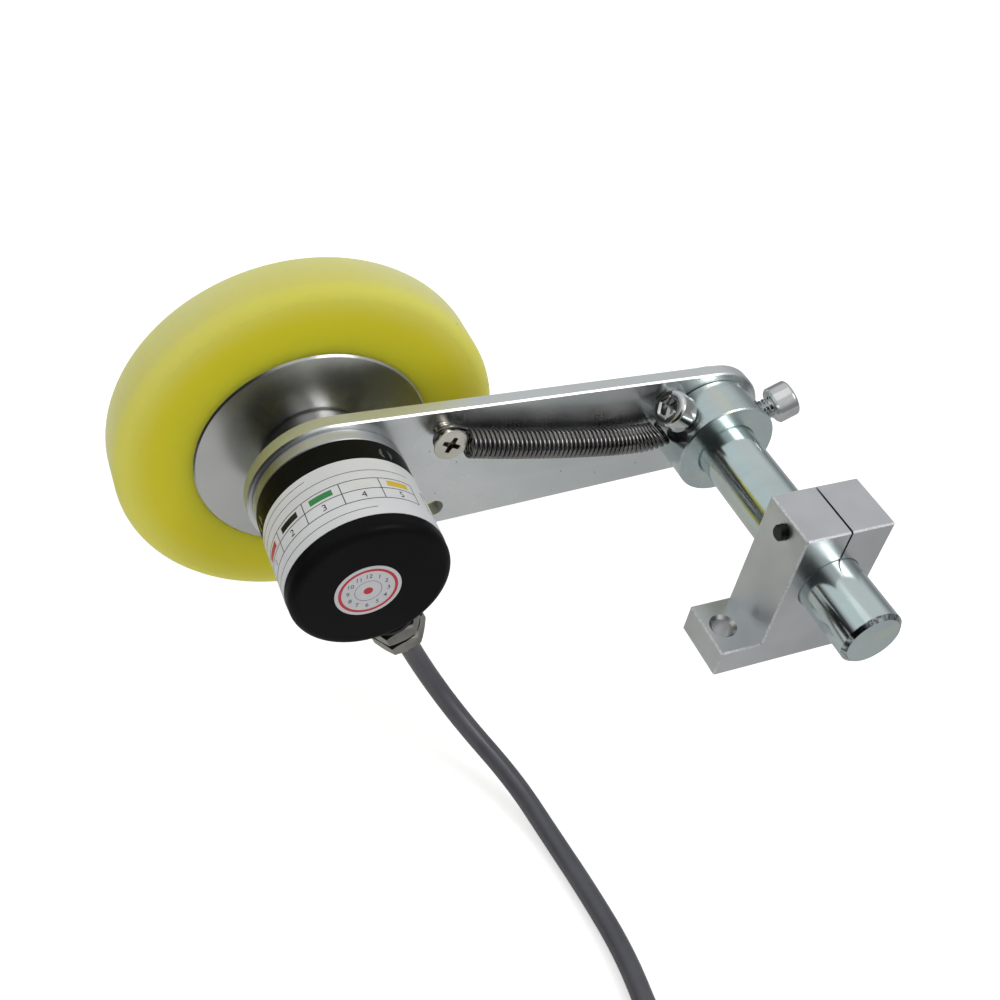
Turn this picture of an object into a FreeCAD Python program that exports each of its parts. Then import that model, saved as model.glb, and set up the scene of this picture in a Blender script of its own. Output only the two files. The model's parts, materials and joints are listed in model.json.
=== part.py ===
import FreeCAD, Part
import math
import os

from FreeCAD import Placement, Rotation, Vector

# Measuring wheel encoder on a sprung swing arm.
# Millimetres. The origin is the centre of the support's foot, on its underside. The support
# shaft runs along Y at SHAFT_HEIGHT, the arm swings about it and carries the wheel at -X.

# Shaft support block
SHAFT_DIAMETER = 16.0
SHAFT_HEIGHT = 27.0
SUPPORT_DEPTH = 16.0
SUPPORT_BODY_WIDTH = 25.0
SUPPORT_TOTAL_HEIGHT = 44.0
FOOT_WIDTH = 48.0
FOOT_THICKNESS = 8.0
FOOT_HOLE_DIAMETER = 5.5
FOOT_HOLE_SPACING = 38.0
FOOT_HOLE_CHAMFER = 0.8
SUPPORT_SLIT = 0.6
SUPPORT_EDGE = 0.35
SUPPORT_BORE_EDGE = 0.3
CLAMP_SCREW_DIAMETER = 4.0
CLAMP_SCREW_TIP = 1.8
CLAMP_SCREW_SOCKET = 3.0
CLAMP_HEAD_RECESS = 4.2
CLAMP_HEAD_CLEARANCE = 0.3

# Support shaft and what holds the arm on it
SHAFT_FRONT = 18.5
SHAFT_FRONT_CHAMFER = 0.9
SHAFT_BACK_TAIL = 2.8
COLLAR_GAP = 32.7
COLLAR_WALL = 6.0
COLLAR_WIDTH = 12.0
COLLAR_EDGE = 0.35
COLLAR_BORE_EDGE = 0.4
COLLAR_SCREW_DIAMETER = 6.0
COLLAR_SCREW_LENGTH = 7.25
COLLAR_SCREW_SOCKET = 5.0
COLLAR_SCREW_ANGLES = (145.0, 25.0)
COLLAR_SCREW_SHIFTS = (1.0, 0.0)
COLLAR_SCREW_LIFTS = (0.0, 1.75)
BUSH_WALL = 1.0
BUSH_FLANGE_WIDTH = 4.0
BUSH_FLANGE_THICKNESS = 1.5
WASHER_WIDTH = 5.0
WASHER_THICKNESS = 1.5
RETAINER_THICKNESS = 1.0
RETAINER_WIDTH = 2.2
RETAINER_DEPTH = 0.4
RETAINER_GAP_ANGLE = 50.0
RETAINER_LUG = 3.2
RETAINER_LUG_HOLE = 1.4

# Swing arm
ARM_LENGTH = 104.5
ARM_REST_DEG = -1.0
ARM_THICKNESS = 4.0
ARM_PIVOT_WALL = 7.0
ARM_END_MARGIN = 1.2
ARM_EDGE = 0.4
POST_FROM_WHEEL = 27.5
POST_OFFSET = 13.25
POST_DIAMETER = 5.0
POST_STANDOFF = 5.9
POST_HEAD_DIAMETER = 8.7
POST_HEAD_HEIGHT = 2.3
POST_RECESS_WIDTH = 4.5
POST_RECESS_ARM = 1.2
POST_RECESS_DEPTH = 1.5
POST_RECESS_TURN = -26.0

# Extension spring
SPRING_DIAMETER = 7.5
SPRING_WIRE = 1.15
SPRING_POST_HOOK = 8.0
SPRING_SCREW_HOOK = 8.6
SPRING_HOOK_LENGTH = 4.8
SPRING_HOOK_SIDE = 1.8
SPRING_HOOK_DROP = 0.5
SPRING_HOOK_TURN = 300.0
SPRING_SAG = 1.0
SPRING_END_LIFT = 2.0
SPRING_LIFT_POWER = 14
SPRING_STEPS = 28
SPRING_SCREW_LIFT = 0.65
SPRING_END_OUT = 1.1
SPRING_END_BELOW = 7.1
SPRING_END_BACK = 0.5
HOOK_FROM_ARM = 2.4

# Encoder
ENCODER_DIAMETER = 38.0
ENCODER_FLANGE = 3.8
FLANGE_EDGE = 0.4
COVER_BARE_BAND = 6.7
LABEL_WIDTH = 18.0
COVER_CAP = 4.4
COVER_WALL = 1.5
COVER_END_WALL = 2.0
COVER_EDGE_RADIUS = 2.2
COVER_SCREW_DIAMETER = 2.0
COVER_SCREW_HEAD = 3.8
COVER_SCREW_HEAD_HEIGHT = 1.2
COVER_SCREW_DEPTH = 3.0
COVER_SCREW_SETBACK = 3.8
COVER_SCREW_ANGLES = (57.0, 177.0, 297.0)
LABEL_THICKNESS = 0.12
LABEL_GAP_ANGLE = 44.0
STICKER_DIAMETER = 15.6
STICKER_OFFSET = -1.2
PILOT_DIAMETER = 20.0
PILOT_PROUD = 0.5
SPIGOT_LENGTH = 6.6
NECK_LENGTH = 4.5
NECK_WALL = 3.0
FLANGE_SCREW_DIAMETER = 3.0
FLANGE_SCREW_HEAD = 5.6
FLANGE_SCREW_HEAD_HEIGHT = 1.7
FLANGE_SCREW_FLOOR = 0.8
FLANGE_SCREW_INSET = 4.0
FLANGE_SCREW_ANGLES = (30.0, 150.0, 270.0)
ENCODER_SHAFT_DIAMETER = 6.0
ENCODER_SHAFT_REACH = 14.5
ENCODER_SHAFT_EDGE = 0.4
SHAFT_TUNNEL = 0.6
BEARING_OUTER = 13.0
BEARING_WIDTH = 5.0
BEARING_DISH = 0.3
SEAT_SHOULDER = 0.2
DISC_DIAMETER = 23.0
DISC_THICKNESS = 0.6
DISC_HUB_DIAMETER = 10.0
DISC_HUB_LENGTH = 2.0
DISC_TO_NECK = 1.2
ENCODER_SHAFT_TAIL = 0.4
BOARD_TO_SHAFT = 0.7
BOARD_MARGIN = 0.5
BOARD_THICKNESS = 1.6
BOARD_POST_DIAMETER = 3.0
BOARD_POST_ANGLES = (90.0, 210.0, 330.0)
SENSOR_WIDTH = 5.0
SENSOR_DEPTH = 2.4
SENSOR_TO_DISC = 0.5
SEAL_SECTION = 1.4

# Cable gland, pointing down and a little towards the support
GLAND_ANGLE = 22.0
GLAND_FROM_REAR = 6.5
GLAND_ACROSS_FLATS = 12.0
GLAND_BODY_HEX = 3.8
GLAND_NECK = 0.7
GLAND_NUT_HEX = 3.6
GLAND_DOME = 3.0
GLAND_THREAD = 8.0
GLAND_THREAD_INSIDE = 1.5
GLAND_WASHER = 0.8
GLAND_SEAL_WALL = 0.5
GLAND_SEAL_SETBACK = 0.4

# Wheel
WHEEL_CIRCUMFERENCE = 300.0
TYRE_WIDTH = 15.0
TYRE_EDGE_RADIUS = 3.0
HUB_DIAMETER = 59.6
HUB_FACE_PROUD = 0.4
HUB_BACK_RECESS = 0.6
HUB_EDGE = 0.5
BOSS_DIAMETER = 28.0
BOSS_LENGTH = 8.0
BOSS_GROOVE = 0.7
BOSS_TO_ARM = 1.6
HUB_SCREW_DIAMETER = 4.0
HUB_SCREW_SOCKET = 2.0
HUB_SCREW_SUNK = 1.0
HUB_SCREW_ANGLES = (225.0, 315.0)

# Cable: it falls from the gland to the floor and lies along it to a coil
CABLE_DIAMETER = 5.2
FLOOR_LEVEL = -45.0
CABLE_STRAIGHT = 13.4
CABLE_ROUTE = (
    (-78.5, 16.0, -28.6),
    (-68.8, -0.4, -37.1),
    (-64.2, -15.4, -42.2),
    (-61.5, -32.6, -42.4),
    (-59.8, -50.0, -42.4),
    (-61.2, -67.5, -42.4),
    (-60.6, -84.0, -42.4),
)
COIL_CENTRE = (-94.3, -97.0)
COIL_TURNS_WIDE = 3
COIL_TURNS_HIGH = 2
COIL_MID_DIAMETER = 57.0
TIE_WIDTH = 4.5
TIE_THICKNESS = 1.0
TAIL_ROUTE = (
    (-125.4, -95.0, -37.8),
    (-125.8, -86.5, -40.0),
    (-125.6, -78.0, -42.0),
    (-125.2, -71.0, -42.0),
)
SLEEVE_LENGTH = 8.0
SLEEVE_WALL = 0.4
LEAD_DIAMETER = 1.3
LEAD_LENGTH = 17.0
LEAD_STRAIGHT = 5.0
LEAD_FAN = 2.4
LEAD_CIRCLE = 2.7
LEAD_ANGLES = (162.0, 234.0, 90.0, 306.0, 18.0)
LEAD_TIP_DIAMETER = 0.7
LEAD_TIP_LENGTH = 5.0
LEAD_COLOURS = ("red", "black", "green", "white", "yellow")

# Fits
RUNNING = 0.03
SEATED = 0.02
SCREW_FIT = 0.05
FACE_GAP = 0.2

# Derived places along Y, from the support to the wheel
SHAFT_R = SHAFT_DIAMETER / 2
SUPPORT_BACK = SUPPORT_DEPTH / 2
SUPPORT_FRONT = -SUPPORT_BACK
COLLAR_FRONT = SUPPORT_BACK + COLLAR_GAP
COLLAR_BACK = COLLAR_FRONT + COLLAR_WIDTH
COLLAR_MID = (COLLAR_FRONT + COLLAR_BACK) / 2
COLLAR_R = SHAFT_R + COLLAR_WALL
ARM_FRONT = COLLAR_BACK + FACE_GAP
ARM_BACK = ARM_FRONT + ARM_THICKNESS
BUSH_R = SHAFT_R + BUSH_WALL
BUSH_END = ARM_BACK + BUSH_FLANGE_THICKNESS
WASHER_START = BUSH_END + FACE_GAP
WASHER_END = WASHER_START + WASHER_THICKNESS
RETAINER_START = WASHER_END + SCREW_FIT
RETAINER_END = RETAINER_START + RETAINER_THICKNESS
SHAFT_START = SUPPORT_FRONT - SHAFT_FRONT
SHAFT_END = RETAINER_END + SHAFT_BACK_TAIL
ARM_PIVOT_R = BUSH_R + ARM_PIVOT_WALL

# Derived places of the encoder
ENCODER_R = ENCODER_DIAMETER / 2
COVER_FRONT = ARM_FRONT - ENCODER_FLANGE
LABEL_FRONT = COVER_FRONT - COVER_BARE_BAND
LABEL_REAR = LABEL_FRONT - LABEL_WIDTH
COVER_REAR = LABEL_REAR - COVER_CAP
COVER_INNER_R = ENCODER_R - COVER_WALL
SPIGOT_R = COVER_INNER_R - RUNNING
SPIGOT_REAR = COVER_FRONT - SPIGOT_LENGTH
NECK_REAR = SPIGOT_REAR - NECK_LENGTH
BEARING_R = BEARING_OUTER / 2
NECK_R = BEARING_R + NECK_WALL
PILOT_R = PILOT_DIAMETER / 2
PILOT_BACK = ARM_BACK + PILOT_PROUD
FRONT_BEARING_END = PILOT_BACK - SEAT_SHOULDER
REAR_BEARING_START = NECK_REAR + SEAT_SHOULDER
ENCODER_SHAFT_R = ENCODER_SHAFT_DIAMETER / 2
DISC_FRONT = NECK_REAR - DISC_TO_NECK
DISC_REAR = DISC_FRONT - DISC_THICKNESS
DISC_HUB_REAR = DISC_REAR - DISC_HUB_LENGTH
ENCODER_SHAFT_START = DISC_HUB_REAR - ENCODER_SHAFT_TAIL
BOARD_FRONT = ENCODER_SHAFT_START - BOARD_TO_SHAFT
BOARD_REAR = BOARD_FRONT - BOARD_THICKNESS
BOARD_R = COVER_INNER_R - BOARD_MARGIN
BOARD_POST_CIRCLE = BOARD_R - BOARD_POST_DIAMETER / 2 - BOARD_MARGIN
COVER_SCREW_PLACE = COVER_FRONT - COVER_SCREW_SETBACK
FLANGE_SCREW_CIRCLE = ENCODER_R - FLANGE_SCREW_INSET
ARM_END_R = ENCODER_R + ARM_END_MARGIN

# Derived places of the gland, out from the encoder's axis
GLAND_SEAT = ENCODER_R + GLAND_WASHER
GLAND_HEX_END = GLAND_SEAT + GLAND_BODY_HEX
GLAND_NUT_START = GLAND_HEX_END + GLAND_NECK
GLAND_DOME_START = GLAND_NUT_START + GLAND_NUT_HEX
GLAND_MOUTH = GLAND_DOME_START + GLAND_DOME
GLAND_BORE_R = CABLE_DIAMETER / 2 + GLAND_SEAL_WALL
SEAL_FACE = GLAND_MOUTH - GLAND_SEAL_SETBACK

# Derived places of the wheel
WHEEL_R = WHEEL_CIRCUMFERENCE / math.pi / 2
HUB_R = HUB_DIAMETER / 2
BOSS_R = BOSS_DIAMETER / 2
BOSS_FRONT = ARM_BACK + BOSS_TO_ARM
HUB_FACE = BOSS_FRONT + BOSS_LENGTH
TYRE_FRONT = HUB_FACE + HUB_FACE_PROUD
TYRE_BACK = TYRE_FRONT + TYRE_WIDTH
HUB_BACK = TYRE_BACK - HUB_BACK_RECESS
ENCODER_SHAFT_END = BOSS_FRONT + ENCODER_SHAFT_REACH

X_AXIS = Vector(1, 0, 0)
Y_AXIS = Vector(0, 1, 0)
Z_AXIS = Vector(0, 0, 1)
PIVOT = Vector(0, 0, SHAFT_HEIGHT)
WHEEL_X = -ARM_LENGTH
POST_X = WHEEL_X + POST_FROM_WHEEL


def rod(radius, start, end, x=0.0, z=SHAFT_HEIGHT):
    """Round bar along Y from start to end, on the axis through x and z."""
    return Part.makeCylinder(radius, end - start, Vector(x, start, z), Y_AXIS)


def ring(outer, inner, start, end, x=0.0, z=SHAFT_HEIGHT):
    """Round tube along Y from start to end."""
    return rod(outer, start, end, x, z).cut(rod(inner, start, end, x, z))


def turned(profile, x=0.0, z=SHAFT_HEIGHT):
    """Solid turned about a Y axis from (radius, y) corners."""
    points = [Vector(x + radius, y, z) for radius, y in profile]
    face = Part.Face(Part.makePolygon(points + points[:1]))
    return face.revolve(Vector(x, 0, z), Y_AXIS, 360)


def turned_up(profile):
    """Solid turned about Z from (radius, z) corners, standing on the origin."""
    points = [Vector(radius, 0, z) for radius, z in profile]
    face = Part.Face(Part.makePolygon(points + points[:1]))
    return face.revolve(Vector(0, 0, 0), Z_AXIS, 360)


def hexagon(across_flats, height, base=0.0):
    """Hexagonal bar standing along Z."""
    radius = across_flats / math.sqrt(3)
    corners = [Vector(radius * math.cos(a), radius * math.sin(a), base)
               for a in (math.radians(60 * i) for i in range(6))]
    return Part.Face(Part.makePolygon(corners + corners[:1])).extrude(Vector(0, 0, height))


def box(low, high):
    """Box between two corners."""
    size = [b - a for a, b in zip(low, high)]
    return Part.makeBox(*size, Vector(*low))


def stand(shape, base, direction):
    """Copy of a shape built along Z, moved to a base point with its Z turned to a direction."""
    copy = shape.copy()
    copy.Placement = Placement(base, Rotation(Z_AXIS, direction)).multiply(shape.Placement)
    return copy


def radial(shape, angle, y, x=0.0, z=SHAFT_HEIGHT):
    """Stand a shape built along Z radially on a Y axis, at an angle from +X towards +Z."""
    a = math.radians(angle)
    return stand(shape, Vector(x, y, z), Vector(math.cos(a), 0, math.sin(a)))


def on_arm(shape):
    """Turn a piece built on a level arm to the arm's rest angle."""
    turned_shape = shape.copy()
    turned_shape.rotate(PIVOT, Y_AXIS, ARM_REST_DEG)
    return turned_shape


def arm_point(x, y, z):
    """Row place of a point given on the level arm, x and z from the pivot."""
    a = math.radians(ARM_REST_DEG)
    return Vector(x * math.cos(a) + z * math.sin(a), y,
                  SHAFT_HEIGHT - x * math.sin(a) + z * math.cos(a))


def cap_head_radius(diameter):
    """Head radius of a socket head cap screw, which is as high as its thread is wide."""
    return 0.75 * diameter + 0.5


def cap_screw(diameter, length, socket):
    """Socket head cap screw along Z: the tip at 0, the head from length upwards."""
    radius = diameter / 2
    head_r = cap_head_radius(diameter)
    head_height = diameter
    tip = 0.1 * diameter
    edge = 0.08 * diameter
    top = length + head_height
    body = turned_up([(0, 0), (radius - tip, 0), (radius, tip), (radius, length), (head_r, length),
                      (head_r, top - edge), (head_r - edge, top), (0, top)])
    return body.cut(hexagon(socket, head_height / 2, top - head_height / 2))


def grub_screw(diameter, start, end, socket):
    """Headless screw along Z between two radii, with a hexagon socket in its outer end."""
    radius = diameter / 2
    tip = 0.15 * diameter
    body = turned_up([(0, start), (radius - tip, start), (radius, start + tip), (radius, end), (0, end)])
    return body.cut(hexagon(socket, radius, end - radius))


def countersunk_screw(diameter, head_diameter, head_height, length):
    """Countersunk screw along Z: the tip at 0, the flat of its head at length."""
    radius = diameter / 2
    head_r = head_diameter / 2
    rim = 0.15 * head_height
    cone_end = length - rim
    return turned_up([(0, 0), (radius, 0), (radius, length - head_height), (head_r, cone_end),
                      (head_r, length), (0, length)])


def cross_recess(width, arm, depth, top):
    """Cross shaped driver recess below a level, of two crossed bars."""
    first = box((-width / 2, -arm / 2, top - depth), (width / 2, arm / 2, top))
    second = box((-arm / 2, -width / 2, top - depth), (arm / 2, width / 2, top))
    return first.fuse(second)


def rounded_path(points):
    """Wire of straight runs joined by tangent arcs, each as large as its two runs allow."""
    edges = []
    radii = []
    start = points[0]
    for before, corner, after in zip(points, points[1:], points[2:]):
        arrive = corner - before
        leave = after - corner
        turn = arrive.getAngle(leave)
        cut = 0.45 * min(arrive.Length, leave.Length)
        radius = cut / math.tan(turn / 2)
        arrive.normalize()
        leave.normalize()
        first = corner - arrive * cut
        last = corner + leave * cut
        inward = leave - arrive
        inward.normalize()
        middle = corner + inward * (radius / math.cos(turn / 2) - radius)
        edges.append(Part.LineSegment(start, first).toShape())
        edges.append(Part.Arc(first, middle, last).toShape())
        radii.append(round(radius, 1))
        start = last
    edges.append(Part.LineSegment(start, points[-1]).toShape())
    return Part.Wire(edges), radii


def tube(points, diameter, name):
    """Round solid swept along a rounded path. Prints its bend radii and how true its volume is."""
    path, radii = rounded_path(points)
    start = points[1] - points[0]
    section = Part.Wire(Part.makeCircle(diameter / 2, points[0], start))
    solid = path.makePipeShell([section], True, False)
    share = solid.Volume / (math.pi * diameter ** 2 / 4 * path.Length)
    print(name, "bend radii", radii, "length", round(path.Length, 1), "volume share", round(share, 4))
    return solid


def wire_through(points, diameter):
    """Bent wire: straight bars with a ball at each bend."""
    radius = diameter / 2
    solid = None
    for first, last in zip(points, points[1:]):
        run = last - first
        bar = Part.makeCylinder(radius, run.Length, first, run)
        joint = Part.makeSphere(radius, last)
        solid = bar.fuse(joint) if solid is None else solid.fuse([bar, joint])
    return solid


# Shaft support

def shaft_support():
    """Clamping block: a foot with two holes, and a slit column round the shaft."""
    half_body = SUPPORT_BODY_WIDTH / 2
    half_foot = FOOT_WIDTH / 2
    outline = [(-half_foot, 0), (half_foot, 0), (half_foot, FOOT_THICKNESS), (half_body, FOOT_THICKNESS),
               (half_body, SUPPORT_TOTAL_HEIGHT), (-half_body, SUPPORT_TOTAL_HEIGHT),
               (-half_body, FOOT_THICKNESS), (-half_foot, FOOT_THICKNESS)]
    points = [Vector(x, SUPPORT_FRONT, z) for x, z in outline]
    block = Part.Face(Part.makePolygon(points + points[:1])).extrude(Vector(0, SUPPORT_DEPTH, 0))
    edges = [e for e in block.Edges if is_outer_edge(e)]
    block = block.makeChamfer(SUPPORT_EDGE, edges)
    screw_z = clamp_screw_height()
    head_r = cap_head_radius(CLAMP_SCREW_DIAMETER) + CLAMP_HEAD_CLEARANCE
    bore = SHAFT_R + RUNNING
    mouth = bore + SUPPORT_BORE_EDGE
    cuts = [
        turned([(0, SUPPORT_FRONT), (mouth, SUPPORT_FRONT), (bore, SUPPORT_FRONT + SUPPORT_BORE_EDGE),
                (bore, SUPPORT_BACK - SUPPORT_BORE_EDGE), (mouth, SUPPORT_BACK), (0, SUPPORT_BACK)]),
        box((-SUPPORT_SLIT / 2, SUPPORT_FRONT, SHAFT_HEIGHT),
            (SUPPORT_SLIT / 2, SUPPORT_BACK, SUPPORT_TOTAL_HEIGHT)),
        Part.makeCylinder(CLAMP_SCREW_DIAMETER / 2 + SCREW_FIT, SUPPORT_BODY_WIDTH,
                          Vector(-half_body, 0, screw_z), X_AXIS),
        Part.makeCylinder(head_r, CLAMP_HEAD_RECESS, Vector(half_body - CLAMP_HEAD_RECESS, 0, screw_z), X_AXIS),
    ]
    hole_r = FOOT_HOLE_DIAMETER / 2
    straight = FOOT_THICKNESS - FOOT_HOLE_CHAMFER
    for side in (-1, 1):
        hole = turned_up([(0, 0), (hole_r, 0), (hole_r, straight),
                          (hole_r + FOOT_HOLE_CHAMFER, FOOT_THICKNESS), (0, FOOT_THICKNESS)])
        hole.translate(Vector(side * FOOT_HOLE_SPACING / 2, 0, 0))
        cuts.append(hole)
    return block.cut(cuts)


def is_outer_edge(edge):
    """True for the block's edges above the foot's underside, but not for its two inside corners."""
    limits = edge.BoundBox
    at_column = abs(abs(limits.XMax) - SUPPORT_BODY_WIDTH / 2) < SEATED
    at_foot = abs(limits.ZMax - FOOT_THICKNESS) < SEATED
    inside_corner = at_column and at_foot and limits.YLength > SEATED
    return limits.ZMax > SEATED and not inside_corner


def clamp_screw_height():
    """Half way between the top of the bore and the top of the column."""
    return (SHAFT_HEIGHT + SHAFT_R + SUPPORT_TOTAL_HEIGHT) / 2


def clamp_screw():
    """Cap screw across the slit, its head sunk in the right side and its tip out of the left."""
    half_body = SUPPORT_BODY_WIDTH / 2
    seat = half_body - CLAMP_HEAD_RECESS + SEATED
    length = seat + half_body + CLAMP_SCREW_TIP
    tip = Vector(-half_body - CLAMP_SCREW_TIP, 0, clamp_screw_height())
    return stand(cap_screw(CLAMP_SCREW_DIAMETER, length, CLAMP_SCREW_SOCKET), tip, X_AXIS)


# Support shaft

def support_shaft():
    """Plain bar with a chamfered front end and a groove for the retaining ring."""
    groove_r = SHAFT_R - RETAINER_DEPTH
    front = SHAFT_START + SHAFT_FRONT_CHAMFER
    back = SHAFT_END - SHAFT_FRONT_CHAMFER
    return turned([(0, SHAFT_START), (SHAFT_R - SHAFT_FRONT_CHAMFER, SHAFT_START), (SHAFT_R, front),
                   (SHAFT_R, RETAINER_START - SEATED), (groove_r, RETAINER_START - SEATED),
                   (groove_r, RETAINER_END + SEATED), (SHAFT_R, RETAINER_END + SEATED),
                   (SHAFT_R, back), (SHAFT_R - SHAFT_FRONT_CHAMFER, SHAFT_END), (0, SHAFT_END)])


def thrust_washer():
    """Flat washer between the bush and the retaining ring."""
    return ring(SHAFT_R + WASHER_WIDTH, SHAFT_R + SCREW_FIT, WASHER_START, WASHER_END)


def retaining_ring():
    """Open spring ring in the shaft's groove, with a lug at each end of its gap."""
    inner = SHAFT_R - RETAINER_DEPTH + SEATED
    outer = inner + RETAINER_WIDTH
    lug_r = RETAINER_LUG / 2
    reach = 2 * outer
    half_gap = math.radians(RETAINER_GAP_ANGLE / 2)
    body = ring(outer, inner, RETAINER_START, RETAINER_END)
    corners = [Vector(0, RETAINER_START, SHAFT_HEIGHT),
               Vector(-reach * math.sin(half_gap), RETAINER_START, SHAFT_HEIGHT - reach * math.cos(half_gap)),
               Vector(reach * math.sin(half_gap), RETAINER_START, SHAFT_HEIGHT - reach * math.cos(half_gap))]
    wedge = Part.Face(Part.makePolygon(corners + corners[:1])).extrude(Vector(0, RETAINER_THICKNESS, 0))
    body = body.cut(wedge)
    lug_circle = outer - FACE_GAP
    lug_angle = half_gap + lug_r / lug_circle
    shaft_space = rod(inner, RETAINER_START, RETAINER_END)
    for side in (-1, 1):
        x = side * lug_circle * math.sin(lug_angle)
        z = SHAFT_HEIGHT - lug_circle * math.cos(lug_angle)
        lug = rod(lug_r, RETAINER_START, RETAINER_END, x, z)
        hole = rod(RETAINER_LUG_HOLE / 2, RETAINER_START, RETAINER_END, x, z)
        body = body.fuse(lug).cut([hole, shaft_space])
    return body


# Collar

def set_collar():
    """Collar on the shaft, tapped for two screws."""
    inner = SHAFT_R + RUNNING
    mouth = inner + COLLAR_BORE_EDGE
    body = turned([(mouth, COLLAR_FRONT), (COLLAR_R - COLLAR_EDGE, COLLAR_FRONT),
                   (COLLAR_R, COLLAR_FRONT + COLLAR_EDGE), (COLLAR_R, COLLAR_BACK - COLLAR_EDGE),
                   (COLLAR_R - COLLAR_EDGE, COLLAR_BACK), (mouth, COLLAR_BACK),
                   (inner, COLLAR_BACK - COLLAR_BORE_EDGE), (inner, COLLAR_FRONT + COLLAR_BORE_EDGE)])
    hole = Part.makeCylinder(COLLAR_SCREW_DIAMETER / 2 + SEATED, COLLAR_R + 1)
    return body.cut([radial(hole, angle, COLLAR_MID + shift)
                     for angle, shift in zip(COLLAR_SCREW_ANGLES, COLLAR_SCREW_SHIFTS)])


def collar_screws():
    """Two cap screws, standing proud of the collar: one with its tip on the shaft, one backed out."""
    screws = []
    for angle, shift, lift in zip(COLLAR_SCREW_ANGLES, COLLAR_SCREW_SHIFTS, COLLAR_SCREW_LIFTS):
        screw = cap_screw(COLLAR_SCREW_DIAMETER, COLLAR_SCREW_LENGTH, COLLAR_SCREW_SOCKET)
        screw.translate(Vector(0, 0, SHAFT_R + SCREW_FIT + lift))
        screws.append(radial(screw, angle, COLLAR_MID + shift))
    return Part.makeCompound(screws)


# Arm

def arm_plate():
    """Tapered plate: round ends joined by tangent edges, bored for the bush and the encoder."""
    lean = (ARM_END_R - ARM_PIVOT_R) / ARM_LENGTH
    rise = math.sqrt(1 - lean ** 2)

    def at(x, z):
        return Vector(x, ARM_FRONT, SHAFT_HEIGHT + z)

    pivot_up = at(ARM_PIVOT_R * lean, ARM_PIVOT_R * rise)
    pivot_down = at(ARM_PIVOT_R * lean, -ARM_PIVOT_R * rise)
    wheel_up = at(WHEEL_X + ARM_END_R * lean, ARM_END_R * rise)
    wheel_down = at(WHEEL_X + ARM_END_R * lean, -ARM_END_R * rise)
    outline = Part.Wire([
        Part.Arc(pivot_down, at(ARM_PIVOT_R, 0), pivot_up).toShape(),
        Part.LineSegment(pivot_up, wheel_up).toShape(),
        Part.Arc(wheel_up, at(WHEEL_X - ARM_END_R, 0), wheel_down).toShape(),
        Part.LineSegment(wheel_down, pivot_down).toShape(),
    ])
    plate = Part.Face(outline).extrude(Vector(0, ARM_THICKNESS, 0))
    rims = [e for e in plate.Edges if e.BoundBox.YLength < SEATED]
    plate = plate.makeChamfer(ARM_EDGE, rims)
    cuts = [
        rod(BUSH_R + SEATED, ARM_FRONT, ARM_BACK),
        rod(PILOT_R + SCREW_FIT, ARM_FRONT, ARM_BACK, WHEEL_X),
    ]
    for side in (-1, 1):
        cuts.append(rod(POST_DIAMETER / 2 + SEATED, ARM_FRONT, ARM_BACK, POST_X,
                        SHAFT_HEIGHT + side * POST_OFFSET))
    cuts += flange_screw_set(SCREW_FIT)
    return on_arm(plate.cut(cuts))


def pivot_bush():
    """Flanged plain bearing pressed into the arm from behind."""
    inner = SHAFT_R + RUNNING
    return on_arm(turned([(inner, ARM_FRONT), (BUSH_R, ARM_FRONT), (BUSH_R, ARM_BACK + SEATED),
                          (BUSH_R + BUSH_FLANGE_WIDTH, ARM_BACK + SEATED),
                          (BUSH_R + BUSH_FLANGE_WIDTH, BUSH_END), (inner, BUSH_END)]))


def spring_post():
    """Countersunk screw in the arm's upper tapped hole, its head left proud for the spring."""
    length = POST_STANDOFF + ARM_THICKNESS
    screw = countersunk_screw(POST_DIAMETER, POST_HEAD_DIAMETER, POST_HEAD_HEIGHT, length)
    recess = cross_recess(POST_RECESS_WIDTH, POST_RECESS_ARM, POST_RECESS_DEPTH, length)
    recess.rotate(Vector(0, 0, 0), Z_AXIS, POST_RECESS_TURN)
    screw = screw.cut(recess)
    return on_arm(stand(screw, Vector(POST_X, ARM_BACK, SHAFT_HEIGHT + POST_OFFSET), Y_AXIS * -1.0))


def flange_screw_set(clearance=0.0):
    """Countersunk screws through the arm into the encoder, grown by a clearance for their holes."""
    length = ARM_THICKNESS + ENCODER_FLANGE - FLANGE_SCREW_FLOOR
    screw = countersunk_screw(FLANGE_SCREW_DIAMETER + 2 * clearance, FLANGE_SCREW_HEAD + 2 * clearance,
                              FLANGE_SCREW_HEAD_HEIGHT, length)
    screws = []
    for angle in FLANGE_SCREW_ANGLES:
        a = math.radians(angle)
        tip = Vector(WHEEL_X + FLANGE_SCREW_CIRCLE * math.cos(a), ARM_BACK - length,
                     SHAFT_HEIGHT + FLANGE_SCREW_CIRCLE * math.sin(a))
        screws.append(stand(screw, tip, Y_AXIS))
    return screws


def flange_screws():
    """Three countersunk screws that hold the encoder to the arm."""
    return on_arm(Part.makeCompound(flange_screw_set()))


# Spring

def screw_frame():
    """Outward and sideways directions of the collar screw that the spring hooks on."""
    a = math.radians(COLLAR_SCREW_ANGLES[0])
    outward = Vector(math.cos(a), 0, math.sin(a))
    sideways = Vector(-math.sin(a), 0, math.cos(a))
    return outward, sideways


def coil_line(left, right):
    """Middle line of the coil: a chord that sags, and rises steeply near its right end."""
    points = []
    for step in range(SPRING_STEPS + 1):
        t = step / SPRING_STEPS
        rise = SPRING_END_LIFT * (t ** SPRING_LIFT_POWER - t) - 4 * SPRING_SAG * t * (1 - t)
        points.append(left + (right - left) * t + Z_AXIS * rise)
    curve = Part.BSplineCurve()
    curve.interpolate(points)
    return curve.toShape()


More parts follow.
